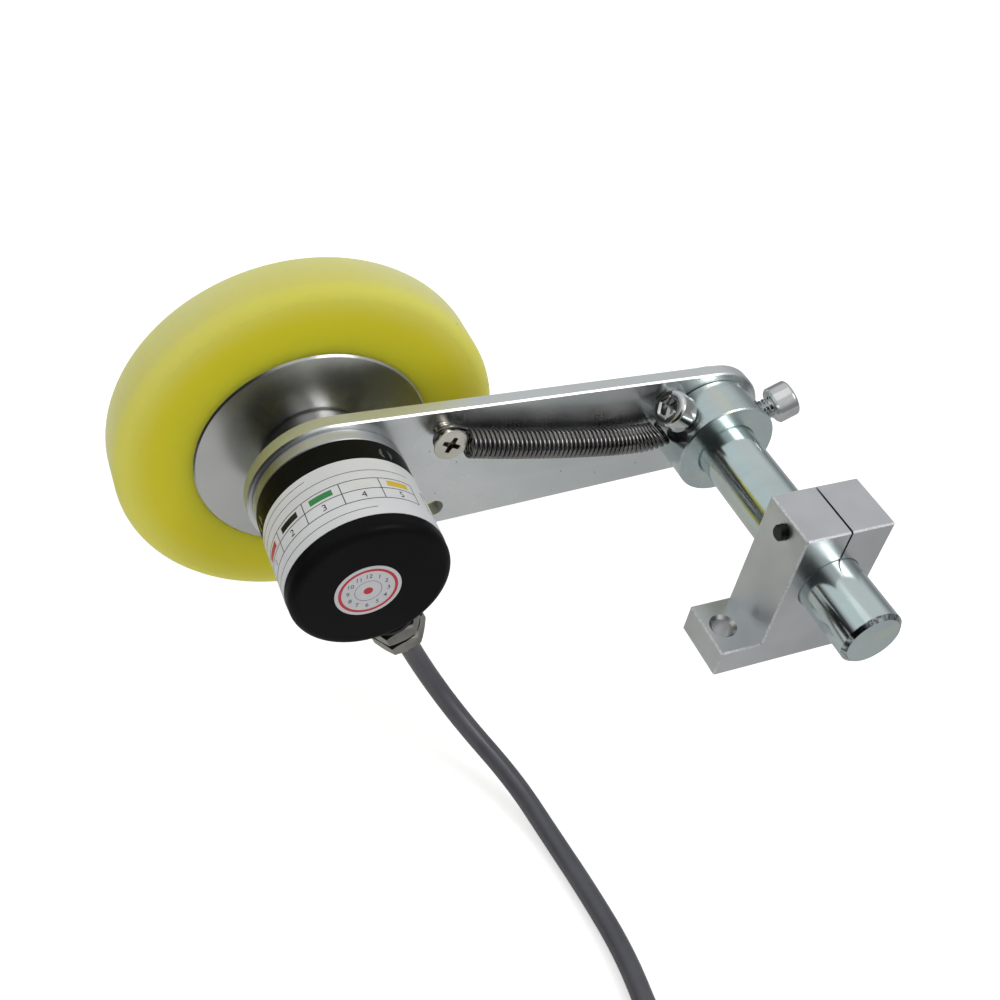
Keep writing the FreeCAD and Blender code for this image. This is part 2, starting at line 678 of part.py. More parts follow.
def spring():
    """Close wound extension spring as a tube. A hook at each end pulls on the far side of its screw."""
    coil_r = (SPRING_DIAMETER - SPRING_WIRE) / 2
    post_hook_r = (SPRING_POST_HOOK - SPRING_WIRE) / 2
    screw_hook_r = (SPRING_SCREW_HOOK - SPRING_WIRE) / 2
    wire_r = SPRING_WIRE / 2
    hold = wire_r + SCREW_FIT
    outward, sideways = screw_frame()
    shank = PIVOT + Vector(0, COLLAR_MID + COLLAR_SCREW_SHIFTS[0], 0) + outward * (COLLAR_R + SPRING_SCREW_LIFT)
    right_end = shank + outward * SPRING_END_OUT + sideways * SPRING_END_BELOW + Y_AXIS * SPRING_END_BACK
    post = arm_point(POST_X, ARM_FRONT - wire_r - HOOK_FROM_ARM, POST_OFFSET)
    along = Vector(right_end.x - post.x, 0, right_end.z - post.z)
    along.normalize()
    hook_end = post + along * SPRING_HOOK_LENGTH
    left_end = hook_end - Y_AXIS * SPRING_HOOK_SIDE - Z_AXIS * SPRING_HOOK_DROP
    line = coil_line(left_end, right_end)
    start = line.tangentAt(line.FirstParameter)
    finish = line.tangentAt(line.LastParameter)
    tubes = []
    for radius in (SPRING_DIAMETER / 2, SPRING_DIAMETER / 2 - SPRING_WIRE):
        section = Part.Wire(Part.makeCircle(radius, left_end, start))
        tubes.append(Part.Wire([line]).makePipeShell([section], True, False))
    body = tubes[0].cut(tubes[1])
    post_ring = post + along * (post_hook_r - hold - POST_DIAMETER / 2)
    post_hook = Part.makeTorus(post_hook_r, wire_r, post_ring, Y_AXIS)
    height = math.sqrt(coil_r ** 2 - SPRING_HOOK_SIDE ** 2)
    coil_top = left_end + Y_AXIS * SPRING_HOOK_SIDE + Z_AXIS * height
    post_lead = wire_through([post_ring + along * post_hook_r, coil_top + start * SPRING_WIRE], SPRING_WIRE)
    screw_ring = shank + sideways * (screw_hook_r - hold - COLLAR_SCREW_DIAMETER / 2)
    ring_back = screw_ring + Y_AXIS * screw_hook_r
    section = Part.Face(Part.Wire(Part.makeCircle(wire_r, ring_back, sideways)))
    screw_hook = section.revolve(screw_ring, outward * -1.0, SPRING_HOOK_TURN)
    coil_back = right_end + Y_AXIS * coil_r
    screw_lead = wire_through([ring_back, ring_back + sideways * screw_hook_r, coil_back - finish * SPRING_WIRE],
                              SPRING_WIRE)
    return body.fuse([post_hook, post_lead, screw_hook, screw_lead])


# Encoder

def encoder_flange():
    """Turned base: disc on the arm, pilot through it, spigot for the cover and bearing neck."""
    bore = ENCODER_SHAFT_R + SHAFT_TUNNEL
    seat = BEARING_R + SEATED
    front_seat = FRONT_BEARING_END - BEARING_WIDTH
    rear_seat = REAR_BEARING_START + BEARING_WIDTH
    groove_r = SPIGOT_R - SEAL_SECTION - SEATED
    groove_mid = COVER_FRONT - SEAL_SECTION
    groove_half = SEAL_SECTION / 2 + SCREW_FIT
    edge = FLANGE_EDGE
    profile = [
        (bore, rear_seat), (seat, rear_seat), (seat, NECK_REAR), (NECK_R, NECK_REAR), (NECK_R, SPIGOT_REAR),
        (SPIGOT_R, SPIGOT_REAR), (SPIGOT_R, groove_mid - groove_half), (groove_r, groove_mid - groove_half),
        (groove_r, groove_mid + groove_half), (SPIGOT_R, groove_mid + groove_half),
        (SPIGOT_R, COVER_FRONT + SEATED), (ENCODER_R - edge, COVER_FRONT + SEATED),
        (ENCODER_R, COVER_FRONT + SEATED + edge), (ENCODER_R, ARM_FRONT - edge), (ENCODER_R - edge, ARM_FRONT),
        (PILOT_R, ARM_FRONT), (PILOT_R, PILOT_BACK), (seat, PILOT_BACK), (seat, front_seat), (bore, front_seat),
    ]
    body = turned(profile, WHEEL_X)
    hole_floor = SPIGOT_R - COVER_SCREW_DEPTH - SCREW_FIT
    hole_r = COVER_SCREW_DIAMETER / 2 + SEATED
    hole = Part.makeCylinder(hole_r, ENCODER_R - hole_floor, Vector(0, 0, hole_floor))
    cuts = [radial(hole, angle, COVER_SCREW_PLACE, WHEEL_X) for angle in COVER_SCREW_ANGLES]
    cuts += flange_screw_set(SEATED)
    return on_arm(body.cut(cuts))


def encoder_cover():
    """Cup over the works, with a rounded rear edge, three screw holes and the gland's hole."""
    outer = rod(ENCODER_R, COVER_REAR, COVER_FRONT, WHEEL_X)
    rim = [e for e in outer.Edges if e.BoundBox.YMax < COVER_REAR + SEATED]
    outer = outer.makeFillet(COVER_EDGE_RADIUS, rim)
    hollow = rod(COVER_INNER_R, COVER_REAR + COVER_END_WALL, COVER_FRONT, WHEEL_X)
    cuts = [hollow] + [radial(cover_screw(SCREW_FIT), angle, COVER_SCREW_PLACE, WHEEL_X)
                       for angle in COVER_SCREW_ANGLES]
    gland_hole = Part.makeCylinder(GLAND_THREAD / 2 + SCREW_FIT, ENCODER_R + 1)
    cuts.append(radial(gland_hole, GLAND_ANGLE - 90, COVER_REAR + GLAND_FROM_REAR, WHEEL_X))
    return on_arm(outer.cut(cuts))


def cover_screw(clearance=0.0):
    """Small countersunk screw along Z, from inside the spigot to the cover's surface."""
    start = SPIGOT_R - COVER_SCREW_DEPTH
    screw = countersunk_screw(COVER_SCREW_DIAMETER + 2 * clearance, COVER_SCREW_HEAD + 2 * clearance,
                              COVER_SCREW_HEAD_HEIGHT, ENCODER_R - SEATED - start)
    screw.translate(Vector(0, 0, start))
    return screw


def cover_screws():
    """Three screws that pin the cover to the spigot."""
    screws = [radial(cover_screw(), angle, COVER_SCREW_PLACE, WHEEL_X) for angle in COVER_SCREW_ANGLES]
    return on_arm(Part.makeCompound(screws))


def cover_seal():
    """O-ring in the spigot's groove."""
    section_r = SEAL_SECTION / 2
    ring_r = SPIGOT_R - section_r
    seal = Part.makeTorus(ring_r, section_r, Vector(WHEEL_X, COVER_FRONT - SEAL_SECTION, SHAFT_HEIGHT), Y_AXIS)
    return on_arm(seal)


def label_band():
    """Foil label round the cover, open where the gland stands."""
    inner = ENCODER_R + SEATED
    band = ring(inner + LABEL_THICKNESS, inner, LABEL_REAR, LABEL_FRONT, WHEEL_X)
    reach = 2 * ENCODER_R
    corners = [Vector(WHEEL_X, LABEL_REAR, SHAFT_HEIGHT)]
    for side in (-1, 1):
        a = math.radians(GLAND_ANGLE - 90 + side * LABEL_GAP_ANGLE / 2)
        corners.append(Vector(WHEEL_X + reach * math.cos(a), LABEL_REAR, SHAFT_HEIGHT + reach * math.sin(a)))
    wedge = Part.Face(Part.makePolygon(corners + corners[:1])).extrude(Vector(0, LABEL_WIDTH, 0))
    return on_arm(band.cut(wedge))


def rear_sticker():
    """Round sticker on the cover's rear face."""
    face = COVER_REAR - SEATED
    return on_arm(rod(STICKER_DIAMETER / 2, face - LABEL_THICKNESS, face, WHEEL_X + STICKER_OFFSET))


def bearing(start):
    """Shielded ball bearing, both rings and its shields as one turned piece."""
    inner = ENCODER_SHAFT_R + RUNNING
    wall = (BEARING_R - inner) / 3
    dish = BEARING_DISH
    end = start + BEARING_WIDTH
    return on_arm(turned([
        (inner, start), (inner + wall, start), (inner + wall, start + dish), (BEARING_R - wall, start + dish),
        (BEARING_R - wall, start), (BEARING_R, start), (BEARING_R, end), (BEARING_R - wall, end),
        (BEARING_R - wall, end - dish), (inner + wall, end - dish), (inner + wall, end), (inner, end),
    ], WHEEL_X))


def circuit_board():
    """Round board behind the code disc."""
    return on_arm(rod(BOARD_R, BOARD_REAR, BOARD_FRONT, WHEEL_X))


def board_posts():
    """Three posts that carry the board from the spigot."""
    posts = []
    for angle in BOARD_POST_ANGLES:
        a = math.radians(angle)
        posts.append(rod(BOARD_POST_DIAMETER / 2, BOARD_FRONT, SPIGOT_REAR,
                         WHEEL_X + BOARD_POST_CIRCLE * math.cos(a),
                         SHAFT_HEIGHT + BOARD_POST_CIRCLE * math.sin(a)))
    return on_arm(Part.makeCompound(posts))


def sensor_block(start, end):
    """Small block beside the code disc's track, between two levels."""
    track = WHEEL_X + NECK_R + FACE_GAP
    half = SENSOR_WIDTH / 2
    return on_arm(box((track, start, SHAFT_HEIGHT - half), (track + SENSOR_DEPTH, end, SHAFT_HEIGHT + half)))


def photo_sensor():
    """Receiver on the board, facing the code disc."""
    return sensor_block(BOARD_FRONT, DISC_REAR - SENSOR_TO_DISC)


def light_source():
    """Lamp on the spigot, facing the code disc from the other side."""
    return sensor_block(DISC_FRONT + SENSOR_TO_DISC, SPIGOT_REAR)


# Gland

def on_gland(shape):
    """Stand a piece built along Z on the gland's axis, its zero on the encoder's axis."""
    return radial(shape, GLAND_ANGLE - 90, COVER_REAR + GLAND_FROM_REAR, WHEEL_X)


def rounded_hexagon(start, height):
    """Hexagon bar along Z with its corners turned off at both ends."""
    bar = hexagon(GLAND_ACROSS_FLATS, height, start)
    corner_r = GLAND_ACROSS_FLATS / math.sqrt(3)
    flat_r = GLAND_ACROSS_FLATS / 2
    drop = 0.6 * (corner_r - flat_r)
    end = start + height
    turning = turned_up([(0, start), (flat_r, start), (corner_r, start + drop), (corner_r, end - drop),
                         (flat_r, end), (0, end)])
    return bar.common(turning)


def gland_washer():
    """Sealing washer between the gland and the cover's round side."""
    radius = GLAND_ACROSS_FLATS / 2
    disc = Part.makeCylinder(radius, radius, Vector(0, 0, GLAND_SEAT - SEATED - radius))
    bore = Part.makeCylinder(GLAND_THREAD / 2 + SEATED, GLAND_SEAT)
    cover_space = rod(ENCODER_R + SEATED, COVER_REAR - radius, COVER_FRONT, WHEEL_X)
    return on_arm(on_gland(disc.cut(bore)).cut(cover_space))


def gland_body():
    """Gland's hexagon with its thread through the cover, and the neck that the nut screws on."""
    thread_start = COVER_INNER_R - GLAND_THREAD_INSIDE
    thread = Part.makeCylinder(GLAND_THREAD / 2, GLAND_SEAT - thread_start, Vector(0, 0, thread_start))
    neck = Part.makeCylinder(GLAND_THREAD / 2, GLAND_NECK, Vector(0, 0, GLAND_HEX_END))
    return on_arm(on_gland(rounded_hexagon(GLAND_SEAT, GLAND_BODY_HEX).fuse([thread, neck])))


def gland_nut():
    """Dome nut, a hexagon that closes in to the cable."""
    flat_r = GLAND_ACROSS_FLATS / 2
    start = GLAND_NUT_START + SEATED
    dome = turned_up([(0, GLAND_DOME_START), (flat_r - 0.3, GLAND_DOME_START),
                      (flat_r - 0.8, GLAND_DOME_START + 0.45 * GLAND_DOME),
                      (flat_r - 1.8, GLAND_DOME_START + 0.85 * GLAND_DOME), (flat_r - 2.5, GLAND_MOUTH),
                      (0, GLAND_MOUTH)])
    bore = Part.makeCylinder(GLAND_BORE_R, GLAND_MOUTH - start, Vector(0, 0, start))
    return on_arm(on_gland(rounded_hexagon(start, GLAND_DOME_START - start).fuse(dome).cut(bore)))


def gland_seal():
    """Rubber plug in the nut that grips the cable."""
    start = GLAND_NUT_START + 2 * SEATED
    plug = Part.makeCylinder(GLAND_BORE_R - SEATED, SEAL_FACE - start, Vector(0, 0, start))
    return on_arm(on_gland(plug))


# Wheel

def wheel_hub():
    """Turned hub: boss on the encoder's shaft, relief round its root, flat faces and chamfered rim."""
    bore = ENCODER_SHAFT_R + SEATED
    edge = HUB_EDGE
    body = turned([
        (bore, BOSS_FRONT), (BOSS_R - edge, BOSS_FRONT), (BOSS_R, BOSS_FRONT + edge),
        (BOSS_R, HUB_FACE + BOSS_GROOVE), (BOSS_R + BOSS_GROOVE, HUB_FACE + BOSS_GROOVE),
        (BOSS_R + BOSS_GROOVE, HUB_FACE),
        (HUB_R - edge, HUB_FACE), (HUB_R, HUB_FACE + edge), (HUB_R, HUB_BACK - edge), (HUB_R - edge, HUB_BACK),
        (bore + edge, HUB_BACK), (bore, HUB_BACK - edge),
    ], WHEEL_X)
    hole = Part.makeCylinder(HUB_SCREW_DIAMETER / 2 + SEATED, BOSS_R + 1)
    return on_arm(body.cut([radial(hole, angle, hub_screw_place(), WHEEL_X) for angle in HUB_SCREW_ANGLES]))


def hub_screw_place():
    """Y of the grub screws, half way along the boss."""
    return BOSS_FRONT + BOSS_LENGTH / 2


def hub_screws():
    """Two grub screws that hold the hub on the encoder's shaft."""
    tip = ENCODER_SHAFT_R + SCREW_FIT
    screw = grub_screw(HUB_SCREW_DIAMETER, tip, BOSS_R - HUB_SCREW_SUNK, HUB_SCREW_SOCKET)
    solids = [radial(screw, angle, hub_screw_place(), WHEEL_X) for angle in HUB_SCREW_ANGLES]
    return on_arm(Part.makeCompound(solids))


def tyre():
    """Flat treaded tyre bonded on the hub, its tread edges rounded."""
    inner = HUB_R + SEATED
    blank = ring(WHEEL_R, inner, TYRE_FRONT, TYRE_BACK, WHEEL_X)
    rims = [e for e in blank.Edges if is_tread_rim(e)]
    return on_arm(blank.makeFillet(TYRE_EDGE_RADIUS, rims))


def is_tread_rim(edge):
    """True for the two circles at the tread's edges."""
    return edge.BoundBox.YLength < SEATED and edge.BoundBox.XLength > HUB_DIAMETER + TYRE_EDGE_RADIUS


def encoder_shaft():
    """Encoder's shaft, from behind the code disc to inside the wheel's hub."""
    edge = ENCODER_SHAFT_EDGE
    return on_arm(turned([(0, ENCODER_SHAFT_START), (ENCODER_SHAFT_R - edge, ENCODER_SHAFT_START),
                          (ENCODER_SHAFT_R, ENCODER_SHAFT_START + edge),
                          (ENCODER_SHAFT_R, ENCODER_SHAFT_END - edge),
                          (ENCODER_SHAFT_R - edge, ENCODER_SHAFT_END), (0, ENCODER_SHAFT_END)], WHEEL_X))


def code_disc():
    """Disc with the track of lines that the sensor counts."""
    return on_arm(ring(DISC_DIAMETER / 2, ENCODER_SHAFT_R + SEATED, DISC_REAR, DISC_FRONT, WHEEL_X))


def disc_hub():
    """Hub that carries the code disc on the shaft."""
    return on_arm(ring(DISC_HUB_DIAMETER / 2, ENCODER_SHAFT_R + SEATED, DISC_HUB_REAR, DISC_REAR, WHEEL_X))


# Cable

def gland_axis_point(reach):
    """Row place of a point on the gland's axis, at a distance from the encoder's axis."""
    a = math.radians(GLAND_ANGLE)
    return arm_point(WHEEL_X + reach * math.sin(a), COVER_REAR + GLAND_FROM_REAR, -reach * math.cos(a))


def cable():
    """Cable from the gland to the coil."""
    start = gland_axis_point(SEAL_FACE + SEATED)
    straight = gland_axis_point(SEAL_FACE + CABLE_STRAIGHT)
    points = [start, straight] + [Vector(*point) for point in CABLE_ROUTE]
    return tube(points, CABLE_DIAMETER, "cable")


def coil_section(grow=0.0):
    """Half width and height of the coil's bundle of turns."""
    return COIL_TURNS_WIDE * CABLE_DIAMETER / 2 + grow, COIL_TURNS_HIGH * CABLE_DIAMETER + grow


def cable_coil():
    """Outer shape of the coiled length, lying on the floor."""
    half_width, height = coil_section()
    mid_r = COIL_MID_DIAMETER / 2
    edge = CABLE_DIAMETER / 2
    blank = turned_up([(mid_r - half_width, 0), (mid_r + half_width, 0), (mid_r + half_width, height - edge),
                       (mid_r + half_width - edge, height), (mid_r - half_width + edge, height),
                       (mid_r - half_width, height - edge)])
    blank.translate(Vector(COIL_CENTRE[0], COIL_CENTRE[1], FLOOR_LEVEL))
    return blank


def coil_tie():
    """Strap round the coil's bundle, on the side away from the wheel."""
    half_width, height = coil_section()
    outer_half, outer_height = coil_section(TIE_THICKNESS)
    mid_y = COIL_CENTRE[1] - COIL_MID_DIAMETER / 2
    x = COIL_CENTRE[0]
    outer = box((x - TIE_WIDTH / 2, mid_y - outer_half, FLOOR_LEVEL),
                (x + TIE_WIDTH / 2, mid_y + outer_half, FLOOR_LEVEL + outer_height))
    inner = box((x - TIE_WIDTH / 2, mid_y - half_width, FLOOR_LEVEL + TIE_THICKNESS),
                (x + TIE_WIDTH / 2, mid_y + half_width, FLOOR_LEVEL + height))
    return outer.cut(inner)


def cable_tail():
    """Short end of the cable where it comes off the coil."""
    return tube([Vector(*point) for point in TAIL_ROUTE], CABLE_DIAMETER, "cable tail")


def tail_frame():
    """End of the tail and the direction it points in."""
    end = Vector(*TAIL_ROUTE[-1])
    along = end - Vector(*TAIL_ROUTE[-2])
    along.normalize()
    return end, along


def end_sleeve():
    """Shrunk sleeve over the cable's end."""
    end, along = tail_frame()
    return Part.makeCylinder(CABLE_DIAMETER / 2 + SLEEVE_WALL, SLEEVE_LENGTH, end + along * SEATED, along)


def lead_points(index):
    """Start, bend and end of one lead: out of the sleeve side by side, then fanned out on the floor."""
    end, along = tail_frame()
    offset = index - (len(LEAD_COLOURS) - 1) / 2
    turn = math.radians(LEAD_ANGLES[index])
    place = Vector(math.cos(turn), 0, math.sin(turn)) * (LEAD_CIRCLE / 2)
    across = place - along * place.dot(along)
    start = end + along * (SLEEVE_LENGTH + 2 * SEATED) + across
    bend = start + along * LEAD_STRAIGHT
    finish = Vector(end.x + offset * LEAD_FAN, bend.y + LEAD_LENGTH - LEAD_STRAIGHT,
                    FLOOR_LEVEL + LEAD_DIAMETER / 2)
    return start, bend, finish


def lead(index):
    """One insulated lead."""
    return tube(lead_points(index), LEAD_DIAMETER, "lead")


def lead_tips():
    """Bare tinned ends of the leads."""
    tips = []
    for index in range(len(LEAD_COLOURS)):
        _, bend, finish = lead_points(index)
        along = finish - bend
        along.z = 0
        along.normalize()
        tips.append(Part.makeCylinder(LEAD_TIP_DIAMETER / 2, LEAD_TIP_LENGTH, finish + along * FACE_GAP, along))
    return Part.makeCompound(tips)


PIECES = {
    "shaft_support": shaft_support,
    "clamp_screw": clamp_screw,
    "support_shaft": support_shaft,
    "thrust_washer": thrust_washer,
    "retaining_ring": retaining_ring,
    "set_collar": set_collar,
    "collar_screws": collar_screws,
    "arm_plate": arm_plate,
    "pivot_bush": pivot_bush,
    "spring_post": spring_post,
    "flange_screws": flange_screws,
    "spring": spring,
    "encoder_flange": encoder_flange,
    "encoder_cover": encoder_cover,
    "cover_screws": cover_screws,
    "cover_seal": cover_seal,
    "label_band": label_band,
    "rear_sticker": rear_sticker,
    "circuit_board": circuit_board,
    "board_posts": board_posts,
    "photo_sensor": photo_sensor,
    "light_source": light_source,
    "gland_washer": gland_washer,
    "gland_body": gland_body,
    "gland_nut": gland_nut,
    "gland_seal": gland_seal,
    "wheel_hub": wheel_hub,
    "hub_screws": hub_screws,
    "tyre": tyre,
    "encoder_shaft": encoder_shaft,
    "code_disc": code_disc,
    "disc_hub": disc_hub,
    "cable": cable,
    "cable_coil": cable_coil,
    "coil_tie": coil_tie,
    "cable_tail": cable_tail,
    "end_sleeve": end_sleeve,
    "lead_tips": lead_tips,
}


def main():
    """Build every piece and write it to its own file."""
    os.makedirs("parts", exist_ok=True)
    shapes = {name: make() for name, make in PIECES.items()}
    shapes["front_bearing"] = bearing(FRONT_BEARING_END - BEARING_WIDTH)
    shapes["rear_bearing"] = bearing(REAR_BEARING_START)
    for index, colour in enumerate(LEAD_COLOURS):
        shapes["lead_" + colour] = lead(index)
    for name, shape in shapes.items():
        if not shape.isValid():
            print("not valid:", name)
        shape.exportStep("parts/" + name + ".step")
        print(name, "solids", len(shape.Solids), "volume", round(shape.Volume, 2))


main()
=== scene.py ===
"""Looks of the measuring wheel encoder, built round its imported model.

Sizes are millimetres until a mesh or curve is filled, which is in metres, as materials are. The
frame is the model's own: X to the right along the support's foot, Y along the support shaft towards
the wheel, Z up.
"""
import json
import math

import bpy
import numpy as np
from mathutils import Matrix, Vector


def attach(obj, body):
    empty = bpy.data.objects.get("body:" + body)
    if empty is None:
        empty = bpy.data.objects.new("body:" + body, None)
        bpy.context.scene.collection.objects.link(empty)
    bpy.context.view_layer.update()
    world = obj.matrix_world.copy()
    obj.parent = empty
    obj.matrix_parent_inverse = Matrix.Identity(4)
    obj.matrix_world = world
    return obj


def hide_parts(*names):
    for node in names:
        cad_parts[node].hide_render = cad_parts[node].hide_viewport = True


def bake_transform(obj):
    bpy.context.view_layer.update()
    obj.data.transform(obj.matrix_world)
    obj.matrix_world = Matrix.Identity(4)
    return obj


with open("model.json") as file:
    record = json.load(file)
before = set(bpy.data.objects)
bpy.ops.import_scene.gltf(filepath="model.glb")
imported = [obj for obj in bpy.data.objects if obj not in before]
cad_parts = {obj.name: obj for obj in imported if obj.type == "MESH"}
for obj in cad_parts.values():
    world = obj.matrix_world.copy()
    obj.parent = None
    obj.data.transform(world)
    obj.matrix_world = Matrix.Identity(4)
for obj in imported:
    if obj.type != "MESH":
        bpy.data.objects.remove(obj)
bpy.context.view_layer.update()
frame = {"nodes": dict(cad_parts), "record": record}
MM = 0.001


# Camera, worked out from the corners of the support block: its place is in metres

EYE = Vector((-0.17138, -0.14366, 0.22266))
RIGHT = Vector((0.91526, -0.37806, 0.13921))
DOWN = Vector((-0.16985, -0.67544, -0.71759))
FORWARD = Vector((0.36531, 0.63313, -0.68242))
LENS = 42.6
SENSOR = 36.0


def link(obj):
    """Put an object in the scene."""
    bpy.context.scene.collection.objects.link(obj)
    return obj


def add_camera():
    """Camera at the photograph's place: its axes are right, up and away from the view."""
    data = bpy.data.cameras.new("camera")
    data.lens = LENS
    data.sensor_width = SENSOR
    data.clip_start = 0.01
    camera = link(bpy.data.objects.new("camera", data))
    turn = Matrix((RIGHT, -DOWN, -FORWARD)).transposed().to_4x4()
    camera.matrix_world = Matrix.Translation(EYE) @ turn
    bpy.context.scene.camera = camera


add_camera()


# Cable, from the gland down to the floor, along it, and into a tied coil

CABLE_DIAMETER = 5.2
CABLE_ROUTE = (
    (-92.56, 26.5, -2.92),
    (-87.33, 26.5, -15.23),
    (-78.5, 16.0, -28.6),
    (-68.8, -0.4, -37.1),
    (-64.2, -15.4, -42.2),
    (-61.5, -32.6, -42.4),
    (-59.8, -50.0, -42.4),
    (-61.2, -67.5, -42.4),
    (-60.6, -84.0, -42.4),
)
TAIL_ROUTE = (
    (-125.4, -95.0, -37.8),
    (-125.8, -86.5, -40.0),
    (-125.6, -78.0, -42.0),
    (-125.2, -71.0, -42.0),
)
COIL_CENTRE = (-94.3, -97.0)
COIL_POINTS_PER_TURN = 16
COIL_DRAW_IN = 0.981
COIL_TURNS = (0.0, 1.0, 2.0, 2.4, 2.8, 3.8, 4.5)
COIL_RADII = (33.7, 28.5, 23.3, 23.3, 25.9, 31.1, 31.1)
COIL_HEIGHTS = (-42.4, -42.4, -42.4, -42.2, -37.8, -37.8, -37.8)
LEAD_COLOURS = ("red", "black", "green", "white", "yellow")


def coil_points():
    """Points of the coil's turns, clockwise from its right side: the radius and height at a turn are
    read between the listed ones, and the radius is widened by what the spline draws it in."""
    turns = np.arange(0, COIL_TURNS[-1], 1 / COIL_POINTS_PER_TURN)
    angle = -2 * np.pi * turns
    radius = np.interp(turns, COIL_TURNS, COIL_RADII) / COIL_DRAW_IN
    height = np.interp(turns, COIL_TURNS, COIL_HEIGHTS)
    x = COIL_CENTRE[0] + radius * np.cos(angle)
    y = COIL_CENTRE[1] + radius * np.sin(angle)
    return np.stack([x, y, height], axis=1)


def add_cable():
    """Round cable on one smooth spline through the route, the coil and the tail."""
    points = np.concatenate([CABLE_ROUTE, coil_points(), TAIL_ROUTE])
    curve = bpy.data.curves.new("signal_cable", "CURVE")
    curve.dimensions = "3D"
    curve.bevel_depth = 1.0
    curve.bevel_resolution = 5
    curve.resolution_u = 8
    curve.use_fill_caps = True
    spline = curve.splines.new("NURBS")
    spline.points.add(len(points) - 1)
    weighted = np.column_stack([points * MM, np.ones(len(points))])
    spline.points.foreach_set("co", weighted.ravel())
    spline.points.foreach_set("radius", np.full(len(points), CABLE_DIAMETER / 2 * MM))
    spline.order_u = 3
    spline.use_endpoint_u = True
    cable = link(bpy.data.objects.new("signal_cable", curve))
    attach(cable, "arm")
    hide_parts("cable", "cable_coil", "cable_tail")
    carried = ["coil_tie", "end_sleeve", "lead_tips"]
    carried += ["lead_" + colour for colour in LEAD_COLOURS]
    return cable


cable = add_cable()


# Surfaces as arrays

SHAFT_AXIS = (0.0, 27.0)
WHEEL_AXIS = (-104.484, 25.176)
WHEEL_MIDDLE = 74.4
ARM_TILT = 1.0
SHARP_EDGE = 35


def enclosed(points, quads):
    """Six times the volume between the quads and the points' middle, negative if they face inwards."""
    a, b, c, d = (points[quads[:, k]] - points.mean(axis=0) for k in range(4))
    return np.sum(np.cross(a, b) * c) + np.sum(np.cross(a, c) * d)


def turned_round(faces, uv):
    """Faces and the UVs of their corners in the opposite order."""
    ends = np.cumsum([len(face) for face in faces])
    order = [np.arange(end - 1, end - len(face) - 1, -1) for face, end in zip(faces, ends)]
    return [face[::-1] for face in faces], uv[np.concatenate(order)]


def surface(grid, round_columns=False, capped=False):
    """Points, faces and face corner UVs of a (rows, columns, 3) grid of points. Capped closes the
    first and the last row with one face each, and turns a shell that faces inwards round."""
    rows, columns = grid.shape[:2]
    spans = columns if round_columns else columns - 1
    row, column = np.meshgrid(np.arange(rows - 1), np.arange(spans), indexing="ij")
    r = row.reshape(-1, 1) + np.array((0, 0, 1, 1))
    c = column.reshape(-1, 1) + np.array((0, 1, 1, 0))
    quads = r * columns + c % columns
    points = grid.reshape(-1, 3)
    faces = quads.tolist()
    uv = np.stack([c / columns, r / rows], axis=-1).reshape(-1, 2)
    if capped:
        ring = np.arange(columns)
        last = (rows - 1) * columns + ring
        faces += [ring[::-1].tolist(), last.tolist()]
        first_uv = np.stack([ring[::-1] / columns, 0 * ring], axis=1)
        last_uv = np.stack([ring / columns, 0 * ring + 1], axis=1)
        uv = np.concatenate([uv, first_uv, last_uv])
        if enclosed(points, quads) < 0:
            faces, uv = turned_round(faces, uv)
    return points, faces, uv


def put(name, surfaces, finish, body=None, stands_for=(), sharp=SHARP_EDGE):
    """One object from a list of surfaces. Finish is one material, or one for each surface."""
    finishes = finish if isinstance(finish, list) else [finish]
    starts = np.cumsum([0] + [len(points) for points, _, _ in surfaces])
    points = np.concatenate([points for points, _, _ in surfaces])
    faces = []
    for start, (_, part, _) in zip(starts, surfaces):
        faces += [[k + start for k in face] for face in part]
    mesh = bpy.data.meshes.new(name)
    mesh.from_pydata((points * MM).tolist(), [], faces)
    layer = mesh.uv_layers.new(name="surface")
    layer.data.foreach_set("uv", np.concatenate([uv for _, _, uv in surfaces]).ravel())
    for material in finishes:
        mesh.materials.append(material)
    if len(finishes) > 1:
        index = np.repeat(np.arange(len(surfaces)), [len(part) for _, part, _ in surfaces])
        mesh.polygons.foreach_set("material_index", index.astype(np.int32))
    mesh.shade_smooth()
    mesh.set_sharp_from_angle(angle=math.radians(sharp))
    obj = link(bpy.data.objects.new(name, mesh))
    if body:
        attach(obj, body)
    if stands_for:
        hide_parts(*stands_for)
    return obj


def unit(vectors):
    """Vectors scaled to length one."""
    return vectors / np.linalg.norm(vectors, axis=-1, keepdims=True)


def stood(points, base, direction, spin=0.0):
    """Points built along Z, moved to a base with their Z turned to a direction and spun about it."""
    z = unit(np.array(direction, float))
    x = unit(np.cross((0.0, 1.0, 0.0) if abs(z[1]) < 0.9 else (1.0, 0.0, 0.0), z))
    y = np.cross(z, x)
    a = math.radians(spin)
    across = math.cos(a) * x + math.sin(a) * y
    up = math.cos(a) * y - math.sin(a) * x
    return np.array(base) + points @ np.stack([across, up, z])


def wire_along(path, guide, radius, sides):
    """Round wire along a path: at each path point a circle square to the path's direction, its first
    radius along the guide's part that is square to that direction."""
    along = unit(np.gradient(path, axis=0))
    first = unit(guide - np.sum(guide * along, axis=1, keepdims=True) * along)
    second = np.cross(along, first)
    angle = np.linspace(0, 2 * np.pi, sides, endpoint=False)[None, :, None]
    circle = np.cos(angle) * first[:, None] + np.sin(angle) * second[:, None]
    return surface(path[:, None] + radius * circle, round_columns=True, capped=True)


# Shader nodes: small sums first, then the effects that materials share

MIX_COLOURS = (6, 7)
MIX_RESULT = 2


def is_socket(value):
    """Whether a value comes from a node."""
    return isinstance(value, bpy.types.NodeSocket)


